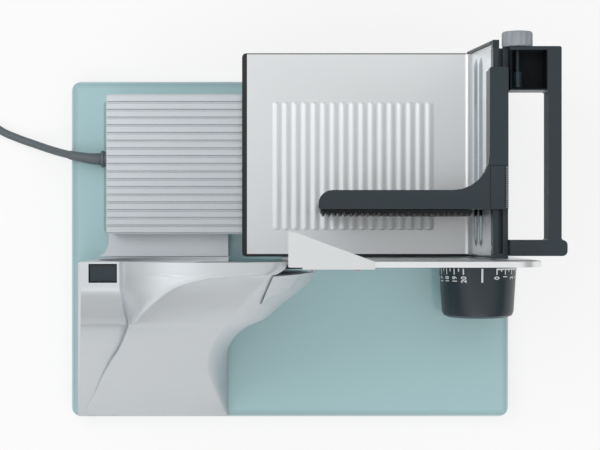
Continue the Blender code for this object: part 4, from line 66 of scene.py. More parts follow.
SLEEVE_ROOT = 0.0054
SLEEVE_END = 0.0036
SLEEVE_SIDES = 24
SLEEVE_GROOVE = 0.0008

# A sheet of relief lies this far above the face that it is on
RELIEF_LIFT = 0.00006

# Rolled beads of the tray, placed from its left and near edges
BEAD_COUNT = 17
BEAD_PITCH = 0.00744
BEAD_RISE = 0.00095
BEAD_STEPS = 14
BEAD_TAPER = 0.0030
BEAD_TAPER_STEPS = 5
BEAD_MIDDLE_SHARES = (0.25, 0.5, 0.75)
BEAD_LEFT_MARGIN = 0.0234
BEAD_NEAR_MARGIN = 0.01855
BEAD_LENGTH = 0.1003
TRAY_THICKNESS = 0.0015

# The tray's wall leans outward, and two low beads run along it, at these heights above the tray
WALL_LEAN = 0.0102
WALL_HEIGHT = 0.0705
WALL_BEAD_HEIGHTS = (0.0185, 0.0325)
WALL_BEAD_WIDTH = 0.0070
WALL_BEAD_RISE = 0.0016
WALL_BEAD_STEPS = 12
WALL_BEAD_TAPER = 0.0060
WALL_BEAD_TAPER_STEPS = 4
WALL_BEAD_MIDDLE_SHARES = (0.3, 0.5, 0.7)
WALL_BEAD_TIP_SHARE = 0.2
WALL_BEAD_NEAR_MARGIN = 0.00585
WALL_BEAD_FAR_MARGIN = 0.00605

# Pusher: a cover plate with a seam round it, placed from the right and near edges, and grip ribs
SEAM_LEFT_MARGIN = 0.01335
SEAM_RIGHT_MARGIN = 0.00265
SEAM_NEAR_MARGIN = 0.00075
SEAM_FAR_MARGIN = 0.03125
SEAM_WIDTH = 0.0005
SEAM_RISE = 0.00018
GRIP_TEETH = 22
GRIP_TOOTH_SHARE = 0.62
GRIP_WIDTH = 0.0014
GRIP_RISE = 0.0007

# The dial's side narrows from its root to the round of its end
DIAL_END_RADIUS = 0.0286
DIAL_END_ROUND = 0.0050

# Dial marks: each place is along the dial from its root, or an angle from its top
DIAL_ZERO = math.radians(22.5)
DIAL_STEP = math.radians(15.475)
DIAL_ARC_STEP = math.radians(4)
DIAL_LAST_NUMBER = 20
DIAL_LONG_MARK = (0.0011, 0.0058)
DIAL_SHORT_MARK = (0.0011, 0.0034)
DIAL_INDEX_MARK = (0.0011, 0.0119)
DIAL_BAR = (0.0009, 0.0021)
DIAL_BAR_NUMBERS = 3
DIAL_MARK_WIDTH = 0.00105
DIAL_INDEX_WIDTH = 0.0015
DIAL_TEXT_START = 0.0071
DIAL_TEXT_SIZE = 0.0064
DIAL_TEXT_SQUEEZE = 0.82
DIAL_TEXT_WEIGHT = 0.00014
DIAL_TEXT_STEPS = 3
MARK_LIFT = 0.00012

# Colours, in linear light
SILVER = (0.640, 0.672, 0.695)
BED_SILVER = (0.580, 0.620, 0.645)
STEEL = (0.79, 0.81, 0.825)
# The wall's steel is darker than the tray's: painted shade for the dark reflections along the wall
WALL_STEEL_PAINTED_SHADE = (0.40, 0.45, 0.48)
BRIGHT = (0.80, 0.82, 0.83)
EDGE_STEEL = (0.90, 0.92, 0.93)
ZINC = (0.55, 0.56, 0.57)
BRASS = (0.72, 0.55, 0.26)
SLATE = (0.0165, 0.0300, 0.0385)
DEEP_BLACK = (0.006, 0.008, 0.010)
KNOB_GREY = (0.310, 0.340, 0.370)
CORD_GREY = (0.115, 0.140, 0.155)
NYLON = (0.72, 0.72, 0.70)
RUBBER = (0.020, 0.020, 0.020)
TEAL = (0.400, 0.615, 0.640)
# The rim colour is a painted highlight along the glass edge
TEAL_RIM_HIGHLIGHT = (0.60, 0.74, 0.75)
PRINT_WHITE = (0.80, 0.82, 0.83)
PAPER = (0.93, 0.93, 0.93)
WORLD_WHITE = (1.0, 1.0, 1.0)

# Grain: the detail of the noise, and its scale along x, y and z
NOISE_DETAIL = 3
EVEN = (1, 1, 1)
ALONG_Y = (1, 0.03, 1)

# Glass: the rim's width, and the painted shade along it as darker shades of the glass colour by share
# of that width; the very edge is a painted highlight
GLASS_ROUGHNESS = 0.12
GLASS_RIM = 0.006
GLASS_RIM_PAINTED_SHADE = ((0.30, 0.80), (0.55, 0.88))

# The pocket in the handle is painted black inside, as painted shade for the shadow that fills it, and
# hardly shines.
# It is measured from the handle's left and far faces and its underside, and the black reaches past the
# faces by the spare
POCKET_RIGHT = 0.02695
POCKET_NEAR = 0.03145
POCKET_FAR = 0.00265
POCKET_FLOOR = 0.0035
POCKET_SPARE = 0.0002
POCKET_GLOSS = 0.08

# Smooth shading: sharper edges than this angle stay sharp
SMOOTH_ANGLE = math.radians(32)
WELD_REACH = 0.00001

# Floor
FLOOR_SIZE = 40.0
PAPER_ROUGHNESS = 0.9
PAPER_GLOSS = 0.1
PAPER_GLOW = 0.75

# The world's strength by the sine of the height above the floor, and its shares at left and right
WORLD_LEVELS = ((0.0, 0.12), (0.36, 0.22), (0.60, 1.05), (0.82, 1.00), (0.95, 0.76), (1.0, 0.74))
WORLD_LEFT = 1.20
WORLD_RIGHT = 0.80

# Softboxes
KEY_PLACE = (-0.75, 0.45, 1.30)
KEY_SIZE = (0.6, 0.6)
KEY_POWER = 3.0
FRONT_PLACE = (0.0, -0.95, 1.15)
FRONT_SIZE = (1.2, 0.16)
FRONT_POWER = 1.6

# The finish that each CAD node has
WEARS = {
    "casting": ("motor_housing", "slice_deflector"),
    "bed": ("slide_bed",),
    "tray": ("carriage_tray",),
    "steel": ("lead_screw", "guide_rod", "blade_spindle", "motor_worm"),
    "edge": ("stop_plate",),
    "plate": ("finger_guard",),
    "blade": ("blade", "blade_hub"),
    "zinc": ("housing_screw_left", "housing_screw_right", "housing_screw_front", "bed_screw_left",
             "bed_screw_right", "bed_screw_near", "carrier_screw_1", "carrier_screw_2",
             "carrier_screw_3", "motor", "spindle_nut", "guard_screw_left", "guard_screw_right",
             "stop_guide_pin_left", "stop_guide_pin_right", "handle_screw_near",
             "handle_screw_far", "gear_carrier", "carriage_bracket"),
    "brass": ("bearing_rear", "bearing_front", "worm_bearing", "guide_bush", "dial_bearing"),
    "glass": ("glass_base",),
    "slate": ("pusher", "thickness_dial", "switch_base", "switch_rocker", "wall_trim",
              "lock_screw"),
    "handle": ("carriage_handle",),
    "black": ("carriage_frame", "pusher_teeth"),
    "grey": ("lock_knob", "blade_lock"),
    "nylon": ("worm_wheel", "glide_strip"),
    "rubber": ("foot_left_far", "foot_right_far", "foot_left_near", "foot_right_near"),
    "cord": ("cord_gland", "mains_plug", "lead_mains", "lead_motor"),
}


class Nodes:
    """A node tree, with short calls for the nodes that the looks are made of."""

    def __init__(self, tree):
        self.tree = tree

    def first(self, kind):
        """The tree's own node of a kind."""
        return next(node for node in self.tree.nodes if node.type == kind)

    def node(self, kind, **settings):
        made = self.tree.nodes.new(kind)
        for name, value in settings.items():
            setattr(made, name, value)
        return made

    def link(self, source, target):
        self.tree.links.new(source, target)

    def axes(self, place):
        """A place as three values."""
        made = self.node("ShaderNodeSeparateXYZ")
        self.link(place, made.inputs[0])
        return made.outputs

    def value(self, operation, first, second=None):
        """A sum of one or two values, each a socket or a number."""
        made = self.node("ShaderNodeMath", operation=operation)
        for socket, item in zip(made.inputs, (first, second)):
            if item is None:
                continue
            if isinstance(item, bpy.types.NodeSocket):
                self.link(item, socket)
            else:
                socket.default_value = item
        return made.outputs[0]

    def spread(self, source, low, high, start=0, end=1):
        """A value that goes from low to high as source goes from start to end."""
        made = self.node("ShaderNodeMapRange")
        self.link(source, made.inputs["Value"])
        made.inputs["From Min"].default_value = start
        made.inputs["From Max"].default_value = end
        made.inputs["To Min"].default_value = low
        made.inputs["To Max"].default_value = high
        return made.outputs["Result"]


class Finish(Nodes):
    """A material made of nodes, read from its bottom layer up."""

    def __init__(self, name, colour, metallic, roughness):
        self.material = bpy.data.materials.new(name)
        self.material.use_nodes = True
        super().__init__(self.material.node_tree)
        self.shader = self.first("BSDF_PRINCIPLED")
        self.colour = colour
        self.roughness = roughness
        self.shader.inputs["Base Color"].default_value = (*colour, 1)
        self.shader.inputs["Metallic"].default_value = metallic
        self.shader.inputs["Roughness"].default_value = roughness
        self.place = self.node("ShaderNodeTexCoord").outputs["Object"]

    def noise(self, scale, stretch=EVEN):
        """Fine noise, with its grain drawn out along the axes where stretch is small."""
        mapping = self.node("ShaderNodeMapping")
        mapping.inputs["Scale"].default_value = stretch
        self.link(self.place, mapping.inputs["Vector"])
        made = self.node("ShaderNodeTexNoise")
        made.inputs["Scale"].default_value = scale
        made.inputs["Detail"].default_value = NOISE_DETAIL
        self.link(mapping.outputs["Vector"], made.inputs["Vector"])
        return made.outputs["Fac"]

    def inside(self, low, high):
        """1 inside a box and 0 outside it."""
        axes = self.axes(self.place)
        whole = None
        for index in range(3):
            for operation, limit in (("GREATER_THAN", low[index]), ("LESS_THAN", high[index])):
                test = self.value(operation, axes[index], limit)
                whole = test if whole is None else self.value("MULTIPLY", whole, test)
        return whole

    def mix(self, source, first, second):
        """A colour that goes from the first to the second as source goes from 0 to 1."""
        made = self.node("ShaderNodeMix", data_type="RGBA")
        colours = [socket for socket in made.inputs if socket.type == "RGBA"]
        for socket, colour in zip(colours, (first, second)):
            if isinstance(colour, bpy.types.NodeSocket):
                self.link(colour, socket)
            else:
                socket.default_value = (*colour, 1)
        self.link(source, made.inputs[0])
        return next(socket for socket in made.outputs if socket.type == "RGBA")

    def paint(self, colour):
        self.shade = colour
        self.link(colour, self.shader.inputs["Base Color"])

    def mottle(self, source, change):
        """The colour varies a little from place to place."""
        dark = tuple(channel * (1 - change) for channel in self.colour)
        light = tuple(min(channel * (1 + change), 1) for channel in self.colour)
        self.paint(self.mix(source, dark, light))

    def patch(self, low, high, colour, gloss):
        """Another colour and gloss inside a box."""
        inside = self.inside(low, high)
        self.paint(self.mix(inside, self.shade, colour))
        specular = self.shader.inputs["Specular IOR Level"]
        self.link(self.spread(inside, specular.default_value, gloss), specular)

    def polish(self, source, change):
        """The roughness varies a little from place to place."""
        low = self.roughness * (1 - change)
        high = self.roughness * (1 + change)
        self.link(self.spread(source, low, high), self.shader.inputs["Roughness"])

    def bump(self, source, depth):
        """Raises the surface by a real depth where source is 1."""
        made = self.node("ShaderNodeBump")
        made.inputs["Distance"].default_value = depth
        self.link(source, made.inputs["Height"])
        self.link(made.outputs["Normal"], self.shader.inputs["Normal"])

    def coat(self, weight, roughness):
        self.shader.inputs["Coat Weight"].default_value = weight
        self.shader.inputs["Coat Roughness"].default_value = roughness


def cast_metal(name, colour, roughness, metallic=1.0):
    """Metal with a fine even grain: cast, blasted, rolled or plated."""
    made = Finish(name, colour, metallic, roughness)
    grain = made.noise(scale=2600)
    made.mottle(made.noise(scale=60), change=0.02)
    made.polish(grain, change=0.12)
    made.bump(grain, depth=0.00003)
    return made


def brushed_metal(name, colour, roughness, stretch, metallic=1.0):
    """Sheet metal with fine lines along one axis, or turned metal with an even grain."""
    made = Finish(name, colour, metallic, roughness)
    lines = made.noise(scale=2200, stretch=stretch)
    made.mottle(lines, change=0.015)
    made.polish(lines, change=0.25)
    made.bump(lines, depth=0.00001)
    return made


def moulded(name, colour, roughness, grain_scale=2400, depth=0.00003):
    """Plastic or rubber with a fine mould grain."""
    made = Finish(name, colour, 0.0, roughness)
    grain = made.noise(scale=grain_scale)
    made.mottle(made.noise(scale=90), change=0.06)
    made.polish(grain, change=0.10)
    made.bump(grain, depth=depth)
    return made


def tinted_glass(name, colour, highlight_colour, low, high):
    """Glass with its colour on the back, and a rim painted with a highlight at its edge and with shade
    just inside it.
    """
    made = Finish(name, colour, 0.0, GLASS_ROUGHNESS)
    axes = made.axes(made.place)
    middle = (low + high) / 2
    half = (high - low) / 2
    reach = []
    for index in (0, 1):
        away = made.value("ABSOLUTE", made.value("SUBTRACT", axes[index], middle[index]))
        reach.append(made.value("SUBTRACT", half[index], away))
    edge = made.value("MINIMUM", *reach)
    # The rim is painted light: a highlight at the edge, then darker bands of painted shade
    ramp = made.node("ShaderNodeValToRGB")
    made.link(made.value("DIVIDE", edge, GLASS_RIM), ramp.inputs[0])
    stops = ramp.color_ramp.elements
    stops[0].color = (*highlight_colour, 1)
    stops[1].color = (*colour, 1)
    for place, shade in GLASS_RIM_PAINTED_SHADE:
        stop = stops.new(place)
        stop.color = (*(channel * shade for channel in colour), 1)
    made.paint(ramp.outputs["Color"])
    made.polish(made.noise(scale=120), change=0.2)
    made.coat(weight=1.0, roughness=0.05)
    return made


def make_finishes():
    """Every finish of the slicer, by the name that WEARS and the scene's own pieces use."""
    return {
        "casting": cast_metal("satin_casting", SILVER, roughness=0.46, metallic=0.62),
        "bed": cast_metal("satin_bed", BED_SILVER, roughness=0.42, metallic=0.75),
        "tray": brushed_metal("tray_steel", STEEL, roughness=0.36, stretch=ALONG_Y, metallic=0.62),
        "relief": cast_metal("rolled_steel", STEEL, roughness=0.42, metallic=0.35),
        # The darker wall steel is painted shade
        "wall": brushed_metal("wall_steel_painted_shade", WALL_STEEL_PAINTED_SHADE, roughness=0.20, stretch=ALONG_Y),
        "edge": cast_metal("polished_plate", EDGE_STEEL, roughness=0.30, metallic=0.65),
        "steel": brushed_metal("brushed_steel", STEEL, roughness=0.20, stretch=ALONG_Y),
        "plate": cast_metal("satin_plate", BRIGHT, roughness=0.34, metallic=0.85),
        "blade": brushed_metal("blade_steel", STEEL, roughness=0.18, stretch=EVEN),
        "zinc": cast_metal("zinc_plate", ZINC, roughness=0.40),
        "brass": cast_metal("turned_brass", BRASS, roughness=0.32),
        "glass": tinted_glass("teal_glass", TEAL, TEAL_RIM_HIGHLIGHT, *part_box("glass_base")),
        "slate": moulded("slate_plastic", SLATE, roughness=0.36),
        "handle": moulded("handle_plastic", SLATE, roughness=0.36),
        "black": moulded("black_plastic", DEEP_BLACK, roughness=0.50),
        "grey": moulded("grey_plastic", KNOB_GREY, roughness=0.45),
        "nylon": moulded("white_nylon", NYLON, roughness=0.50),
        "rubber": moulded("foot_rubber", RUBBER, roughness=0.80),
        "cord": moulded("cord_plastic", CORD_GREY, roughness=0.50, grain_scale=900, depth=0.00004),
        "print": moulded("white_print", PRINT_WHITE, roughness=0.50),
    }


def blacken_pocket(finish):
    """Painted shade in the open pocket at the handle's far end: black over all that lies above its
    floor and inside its sides.
    """
    low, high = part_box("carriage_handle")
    corner = Vector((low.x - POCKET_SPARE, high.y - POCKET_NEAR, low.z + POCKET_FLOOR))
    opposite = Vector((low.x + POCKET_RIGHT, high.y - POCKET_FAR, high.z + POCKET_SPARE))
    finish.patch(corner, opposite, DEEP_BLACK, POCKET_GLOSS)


def wear(item, finish):
    """A CAD node takes one material."""
    item.data.materials.clear()
    item.data.materials.append(finish.material)


def soften(item):
    """Shades curved faces as one surface, with the real edges kept sharp."""
    data = item.data
    for layer in ("custom_normal", "sharp_edge", "sharp_face"):
        if layer in data.attributes:
            data.attributes.remove(data.attributes[layer])
    data.polygons.foreach_set("use_smooth", [True] * len(data.polygons))
    weld = item.modifiers.new("weld", "WELD")
    weld.merge_threshold = WELD_REACH
    split = item.modifiers.new("split", "EDGE_SPLIT")
    split.split_angle = SMOOTH_ANGLE


def mesh_piece(name, verts, faces, finish, body, smooth=True):
    """A piece of the scene's own, which rides on a body."""
    data = bpy.data.meshes.new(name)
    data.from_pydata([tuple(vert) for vert in verts], [], faces)
    data.polygons.foreach_set("use_smooth", [smooth] * len(data.polygons))
    data.materials.append(finish.material)
    item = bpy.data.objects.new(name, data)
    bpy.context.scene.collection.objects.link(item)
    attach(item, body)
    return item


def ease(share):
    """Goes from 0 to 1 with a soft start and a soft end."""
    return share * share * (3 - 2 * share)


def wave(share):
    """One bead across its width: 0 at both edges and 1 in the middle."""
    return 0.5 - 0.5 * math.cos(math.tau * share)


def end_rise(y, near, far, taper):
    """A bead's height as a share: 1 along its length, and less within its taper at both ends."""
    inward = min(y - near, far - y) / taper
    return math.sin(min(max(inward, 0), 1) * math.pi / 2)


def grid_faces(rows, columns, base=0, turned=False):
    """The faces of a grid of points, which look the other way when it is turned."""
    faces = []
    for row in range(rows - 1):
        for column in range(columns - 1):
            at = base + row * columns + column
            face = (at, at + 1, at + columns + 1, at + columns)
            faces.append((face[0], *reversed(face[1:])) if turned else face)
    return faces


def bead_relief(finish):
    """The rolled beads of the tray, as one sheet of soft waves on its top."""
    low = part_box("carriage_tray")[0]
    first_x = low.x + BEAD_LEFT_MARGIN
    near = low.y + BEAD_NEAR_MARGIN
    far = near + BEAD_LENGTH
    base_z = low.z + TRAY_THICKNESS + RELIEF_LIFT
    tapers = [BEAD_TAPER * step / BEAD_TAPER_STEPS for step in range(BEAD_TAPER_STEPS + 1)]
    ys = [near + taper for taper in tapers]
    ys += [near + BEAD_LENGTH * share for share in BEAD_MIDDLE_SHARES]
    ys += [far - taper for taper in reversed(tapers)]
    columns = BEAD_COUNT * BEAD_STEPS + 1
    verts = []
    for y in ys:
        rise = BEAD_RISE * end_rise(y, near, far, BEAD_TAPER)
        for column in range(columns):
            along = column / BEAD_STEPS
            verts.append((first_x + (along - 0.5) * BEAD_PITCH, y, base_z + rise * wave(along)))
    faces = grid_faces(len(ys), columns)
    mesh_piece("tray_beads", verts, faces, finish, "carriage")


def wall_beads(finish):
    """Two low rolled beads along the leaning wall, in a darker steel that is painted shade for the
    wall's dark reflections.
    """
    low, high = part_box("carriage_tray")
    slant = WALL_LEAN / WALL_HEIGHT
    foot_x = high.x - WALL_LEAN - TRAY_THICKNESS * math.hypot(1, slant)
    foot_z = low.z + TRAY_THICKNESS
    near = low.y + WALL_BEAD_NEAR_MARGIN
    far = high.y - WALL_BEAD_FAR_MARGIN
    steps = WALL_BEAD_TAPER_STEPS
    tapers = [WALL_BEAD_TAPER * math.sin(step / steps * math.pi / 2) ** 2 for step in range(steps + 1)]
    ys = [near + taper for taper in tapers]
    ys += [near + (far - near) * share for share in WALL_BEAD_MIDDLE_SHARES]
    ys += [far - taper for taper in reversed(tapers)]
    verts = []
    faces = []
    for middle in WALL_BEAD_HEIGHTS:
        faces += grid_faces(len(ys), WALL_BEAD_STEPS + 1, base=len(verts), turned=True)
        for y in ys:
            rise = end_rise(y, near, far, WALL_BEAD_TAPER)
            width = WALL_BEAD_WIDTH * max(rise, WALL_BEAD_TIP_SHARE)
            for step in range(WALL_BEAD_STEPS + 1):
                across = step / WALL_BEAD_STEPS
                height = middle + width * (across - 0.5)
                bulge = WALL_BEAD_RISE * rise * wave(across)
                x = foot_x + height * slant - bulge - RELIEF_LIFT
                verts.append((x, y, foot_z + height))
    mesh_piece("wall_beads", verts, faces, finish, "carriage")


def raised_strips(strips, base_z, rise):
    """Flat strips that stand up from a face, with slanted sides: points and faces."""
    verts = []
    faces = []
    for left, right, near, far in strips:
        base = len(verts)
        slant = min(rise, (right - left) / 4, (far - near) / 4)
        for z, inset in ((base_z, 0), (base_z + rise, slant)):
            verts += [(left + inset, near + inset, z), (right - inset, near + inset, z),
                      (right - inset, far - inset, z), (left + inset, far - inset, z)]
        faces.append((base + 4, base + 5, base + 6, base + 7))
        for side in range(4):
            following = (side + 1) % 4
            faces.append((base + side, base + following, base + 4 + following, base + 4 + side))
    return verts, faces


def cover_plate():
    """The pusher's cover plate: its left, right, near and far sides and its top."""
    low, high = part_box("pusher")
    return (high.x - SEAM_LEFT_MARGIN, high.x - SEAM_RIGHT_MARGIN,
            low.y + SEAM_NEAR_MARGIN, low.y + SEAM_FAR_MARGIN, high.z)


def pusher_seam(finish):
    """The seam round the pusher's cover plate, open at its near end."""
    left, right, near, far, top = cover_plate()
    strips = [(x, x + SEAM_WIDTH, near, far) for x in (left, right)]
    strips.append((left, right + SEAM_WIDTH, far, far + SEAM_WIDTH))
    verts, faces = raised_strips(strips, top + RELIEF_LIFT, SEAM_RISE)
    mesh_piece("pusher_seam", verts, faces, finish, "pusher", False)


def pusher_grip(finish):
    """The ribs of the grip strip beside the cover plate."""
    _, right, near, far, top = cover_plate()
    left = right + 2 * SEAM_WIDTH
    pitch = (far - near) / GRIP_TEETH
    strips = []
    for tooth in range(GRIP_TEETH):
        start = near + pitch * tooth
        strips.append((left, left + GRIP_WIDTH, start, start + GRIP_TOOTH_SHARE * pitch))
    verts, faces = raised_strips(strips, top + RELIEF_LIFT, GRIP_RISE)
    mesh_piece("pusher_grip", verts, faces, finish, "pusher", False)


def dial_radius(box):
    """The radius at the dial's root, from the box round the dial."""
    low, high = box
    return (high.x - low.x) / 2


def dial_point(box, angle, along):
    """A point just off the dial's side, at an angle from its top and a place along it."""
    low, high = box
    root = dial_radius(box)
    centre = (low + high) / 2
    taper_length = high.y - low.y - DIAL_END_ROUND
    radius = root - (root - DIAL_END_RADIUS) * along / taper_length + MARK_LIFT
    return Vector((centre.x + radius * math.sin(angle), high.y - along,
                   centre.z + radius * math.cos(angle)))


def dial_patch(box, start, end, mark):
    """A printed patch from one angle to another, between the two places of a mark."""
    steps = max(1, math.ceil((end - start) / DIAL_ARC_STEP))
    verts = []
    for step in range(steps + 1):
        angle = start + (end - start) * step / steps
        verts += [dial_point(box, angle, place) for place in mark]
    faces = [(at, at + 2, at + 3, at + 1) for at in range(0, 2 * steps, 2)]
    return verts, faces


def dial_number(box, number):
    """A number printed along the dial, at its own angle."""
    radius = dial_radius(box)
    words = bpy.data.curves.new("number", "FONT")
    words.body = str(number)
    words.size = DIAL_TEXT_SIZE
    words.resolution_u = DIAL_TEXT_STEPS
    words.offset = DIAL_TEXT_WEIGHT
    text = bpy.data.objects.new("number", words)
    flat = text.to_mesh()
    width = max(vert.co.x for vert in flat.vertices)
    height = max(vert.co.y for vert in flat.vertices)
    middle = DIAL_ZERO + DIAL_STEP * number
    verts = []
    for vert in flat.vertices:
        along = DIAL_TEXT_START + (width - vert.co.x) * DIAL_TEXT_SQUEEZE
        verts.append(dial_point(box, middle - (vert.co.y - height / 2) / radius, along))
    faces = [tuple(face.vertices) for face in flat.polygons]
    text.to_mesh_clear()
    bpy.data.objects.remove(text)
    bpy.data.curves.remove(words)
    return verts, faces


def dial_marks(finish):
    """White ticks and plain numbers printed round the dial."""
    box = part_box("thickness_dial")
    half = DIAL_MARK_WIDTH / dial_radius(box) / 2
    wide = DIAL_INDEX_WIDTH / dial_radius(box) / 2
    prints = []
    for step in range(2 * DIAL_LAST_NUMBER + 1):
        angle = DIAL_ZERO + DIAL_STEP * step / 2
        mark = DIAL_SHORT_MARK if step % 2 else DIAL_LONG_MARK
        prints.append(dial_patch(box, angle - half, angle + half, mark))
    prints.append(dial_patch(box, -wide, wide, DIAL_INDEX_MARK))
    bar_end = DIAL_ZERO + DIAL_BAR_NUMBERS * DIAL_STEP
    prints.append(dial_patch(box, DIAL_ZERO - half, bar_end, DIAL_BAR))
    for number in range(DIAL_LAST_NUMBER + 1):
        prints.append(dial_number(box, number))
    verts = []
    faces = []
    for points, patches in prints:
        faces += [tuple(len(verts) + place for place in patch) for patch in patches]
        verts += points
    mesh_piece("dial_marks", verts, faces, finish, "dial", False)


def smooth_route(route):
    """One smooth curve through the cord's own points, read at even steps."""
    dense = []
    last = len(route) - 1
    for index in range(last):
        before = route[max(index - 1, 0)]
        start = route[index]
        end = route[index + 1]
        after = route[min(index + 2, last)]
        for step in range(CORD_SMOOTH_STEPS):
            t = step / CORD_SMOOTH_STEPS
            dense.append(0.5 * (
                2 * start + (end - before) * t + (2 * before - 5 * start + 4 * end - after) * t ** 2
                + (3 * start - before - 3 * end + after) * t ** 3))
    dense.append(route[-1])
    return dense


def coil_radius(turn):
    """The turns spiral in to the middle of the coil and out again."""
    return COIL_INNER + COIL_PITCH * math.hypot(turn - COIL_TURNS / 2, COIL_REVERSE_SHARE)


def coil_height(turn):
    """The second layer lies on the first."""
    climb = (turn - COIL_TURNS / 2 + COIL_CLIMB_SHARE) / (2 * COIL_CLIMB_SHARE)
    return CORD_FLOOR + COIL_LAYER * ease(min(max(climb, 0), 1))


def cord_points():
    """The lead's middle line: over the glass edge, along the table, round its coil and to the plug."""
    route = [Vector(point) + SHIFT for point in CORD_ROUTE]
    points = smooth_route(route)
    centre_x = route[-1].x - CORD_GAP - 2 * CORD_RADIUS
    centre_y = route[-1].y - coil_radius(0)
    for step in range(COIL_TURNS * COIL_POINTS + 1):
        turn = step / COIL_POINTS
        angle = math.pi / 2 + math.tau * turn
        points.append(Vector((
            centre_x + coil_radius(turn) * math.cos(angle),
            centre_y + coil_radius(turn) * math.sin(angle), coil_height(turn))))
    leave = points[-1]
    plug_low, plug_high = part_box("mains_plug")
    fall = (plug_low.z + plug_high.z) / 2 - leave.z
    points += [leave - Vector((COIL_EXIT_RUN * share, 0, 0)) for share in COIL_EXIT_SHARES]
    for share in COIL_DROP_SHARES:
        points.append(Vector((
            leave.x - COIL_EXIT_RUN - COIL_DROP_RUN * share, leave.y, leave.z + fall * ease(share))))
    points.append(points[-1] - Vector((2 * CORD_RADIUS, 0, 0)))
    return points


def mains_cord(points, finish):
    """The lead as one round tube along its middle line."""
    curve = bpy.data.curves.new("mains_lead", "CURVE")
    curve.dimensions = "3D"
    curve.bevel_depth = CORD_RADIUS
    curve.bevel_resolution = CORD_BEVEL_STEPS
    curve.use_fill_caps = True
    curve.materials.append(finish.material)
    spline = curve.splines.new("POLY")
    spline.points.add(len(points) - 1)
    for target, point in zip(spline.points, points):
        target.co = (*point, 1)
    spline.use_smooth = True
    item = bpy.data.objects.new("mains_lead", curve)
    bpy.context.scene.collection.objects.link(item)
    return item


def strain_relief(points, finish):
    """The ribbed tapered sleeve that guides the lead out of its gland."""
    path = [points[0]]
    travelled = 0
    for one, two in zip(points, points[1:]):
        travelled += (two - one).length
        path.append(two)
        if travelled > SLEEVE_LENGTH:
            break
    verts = []
    faces = []
    last = len(path) - 1
    for index, point in enumerate(path):
        ahead = path[min(index + 1, last)] - path[max(index - 1, 0)]
        side = ahead.cross(Vector((0, 0, 1))).normalized()
        up = side.cross(ahead).normalized()
        radius = SLEEVE_ROOT + (SLEEVE_END - SLEEVE_ROOT) * index / last
        if index % 2:
            radius -= SLEEVE_GROOVE * (1 - index / last)
        for step in range(SLEEVE_SIDES):
            angle = math.tau * step / SLEEVE_SIDES
            verts.append(point + side * radius * math.cos(angle) + up * radius * math.sin(angle))
    for index in range(last):
        at = index * SLEEVE_SIDES
        for step in range(SLEEVE_SIDES):
            following = (step + 1) % SLEEVE_SIDES
            faces.append((at + step, at + following, at + SLEEVE_SIDES + following,
                          at + SLEEVE_SIDES + step))
    faces.append(tuple(reversed(range(SLEEVE_SIDES))))
    faces.append(tuple(last * SLEEVE_SIDES + step for step in range(SLEEVE_SIDES)))
    mesh_piece("strain_relief", verts, faces, finish, "base")


def paper_floor():
    """A white floor that stays white to the camera and in reflections, and keeps the shadow."""
    half = FLOOR_SIZE / 2
    corners = [(-half, -half, 0), (half, -half, 0), (half, half, 0), (-half, half, 0)]
    data = bpy.data.meshes.new("floor")
    data.from_pydata(corners, [], [(0, 1, 2, 3)])
    item = bpy.data.objects.new("floor", data)
    bpy.context.scene.collection.objects.link(item)
    paper = Finish("white_paper", PAPER, 0.0, PAPER_ROUGHNESS)
    paper.shader.inputs["Specular IOR Level"].default_value = PAPER_GLOSS
    glow = paper.node("ShaderNodeEmission")
    blend = paper.node("ShaderNodeMixShader")
    seen = paper.node("ShaderNodeLightPath").outputs
    rays = paper.value("MAXIMUM", seen["Is Camera Ray"], seen["Is Glossy Ray"])
    rays = paper.value("MAXIMUM", rays, seen["Is Transmission Ray"])
    paper.link(paper.value("MULTIPLY", rays, PAPER_GLOW), blend.inputs[0])
    paper.link(paper.shader.outputs[0], blend.inputs[1])
    paper.link(glow.outputs[0], blend.inputs[2])
    paper.link(blend.outputs[0], paper.first("OUTPUT_MATERIAL").inputs["Surface"])
    data.materials.append(paper.material)


def studio_world():
    """A pale world, darker low down and straight above, and brighter on its left."""
    world = bpy.data.worlds.new("studio")
    bpy.context.scene.world = world
    world.use_nodes = True
    nodes = Nodes(world.node_tree)
    axes = nodes.axes(nodes.node("ShaderNodeTexCoord").outputs["Generated"])
    side = nodes.spread(axes[0], WORLD_LEFT, WORLD_RIGHT, start=-1, end=1)
    level = WORLD_LEVELS[0][1]
    for (start, low), (end, high) in zip(WORLD_LEVELS, WORLD_LEVELS[1:]):
        level = nodes.value("ADD", level, nodes.spread(axes[2], 0, high - low, start, end))
    background = nodes.first("BACKGROUND")
    background.inputs["Color"].default_value = (*WORLD_WHITE, 1)
    nodes.link(nodes.value("MULTIPLY", level, side), background.inputs["Strength"])


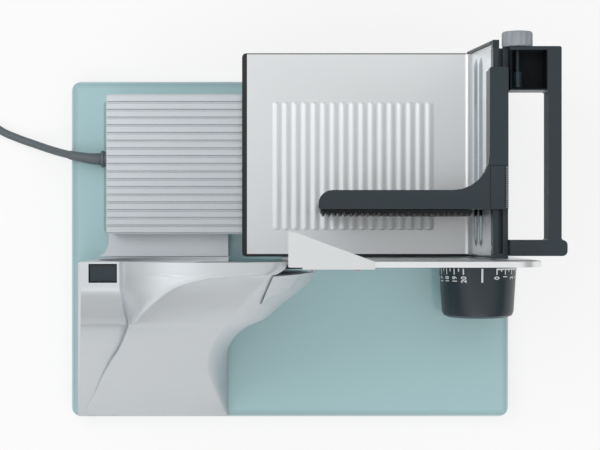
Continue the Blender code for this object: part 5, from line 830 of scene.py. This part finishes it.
def soft_light(name, place, size, power):
    """A softbox that looks at the slicer."""
    lamp = bpy.data.lights.new(name, "AREA")
    lamp.shape = "RECTANGLE"
    lamp.size, lamp.size_y = size
    lamp.energy = power
    item = bpy.data.objects.new(name, lamp)
    item.location = place
    item.rotation_euler = (-Vector(place)).to_track_quat("-Z", "Y").to_euler()
    bpy.context.scene.collection.objects.link(item)


def camera():
    """Looks straight down, with the food side up."""
    lens = bpy.data.cameras.new("camera")
    lens.lens = CAMERA_LENS
    lens.sensor_width = CAMERA_SENSOR
    item = bpy.data.objects.new("camera", lens)
    item.location = Vector((CAMERA_X, CAMERA_Y, CAMERA_HEIGHT)) + SHIFT
    bpy.context.scene.collection.objects.link(item)
    bpy.context.scene.camera = item
    bpy.context.scene.view_settings.view_transform = "Standard"


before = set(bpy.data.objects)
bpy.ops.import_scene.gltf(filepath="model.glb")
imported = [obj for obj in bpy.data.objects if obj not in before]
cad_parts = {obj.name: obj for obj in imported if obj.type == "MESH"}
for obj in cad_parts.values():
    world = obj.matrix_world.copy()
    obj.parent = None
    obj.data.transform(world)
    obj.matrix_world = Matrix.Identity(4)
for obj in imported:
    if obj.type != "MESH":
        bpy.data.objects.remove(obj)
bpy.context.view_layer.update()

# The CAD nodes take their finishes, and all but the cord, which is replaced, are shaded smooth
finishes = make_finishes()
for finish, names in WEARS.items():
    for name in names:
        wear(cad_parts[name], finishes[finish])
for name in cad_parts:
    if name not in ("cord", "cord_coil"):
        soften(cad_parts[name])
# The handle's pocket is painted black as painted shade
blacken_pocket(finishes["handle"])

# The scene's own pieces
bead_relief(finishes["relief"])
wall_beads(finishes["wall"])
pusher_seam(finishes["black"])
pusher_grip(finishes["grey"])
dial_marks(finishes["print"])

lead_points = cord_points()
lead = mains_cord(lead_points, finishes["cord"])
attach(lead, "base")
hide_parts("cord", "cord_coil")
strain_relief(lead_points, finishes["cord"])

# Floor, light and camera
paper_floor()
studio_world()
soft_light("key_light", KEY_PLACE, KEY_SIZE, KEY_POWER)
soft_light("front_light", FRONT_PLACE, FRONT_SIZE, FRONT_POWER)
camera()
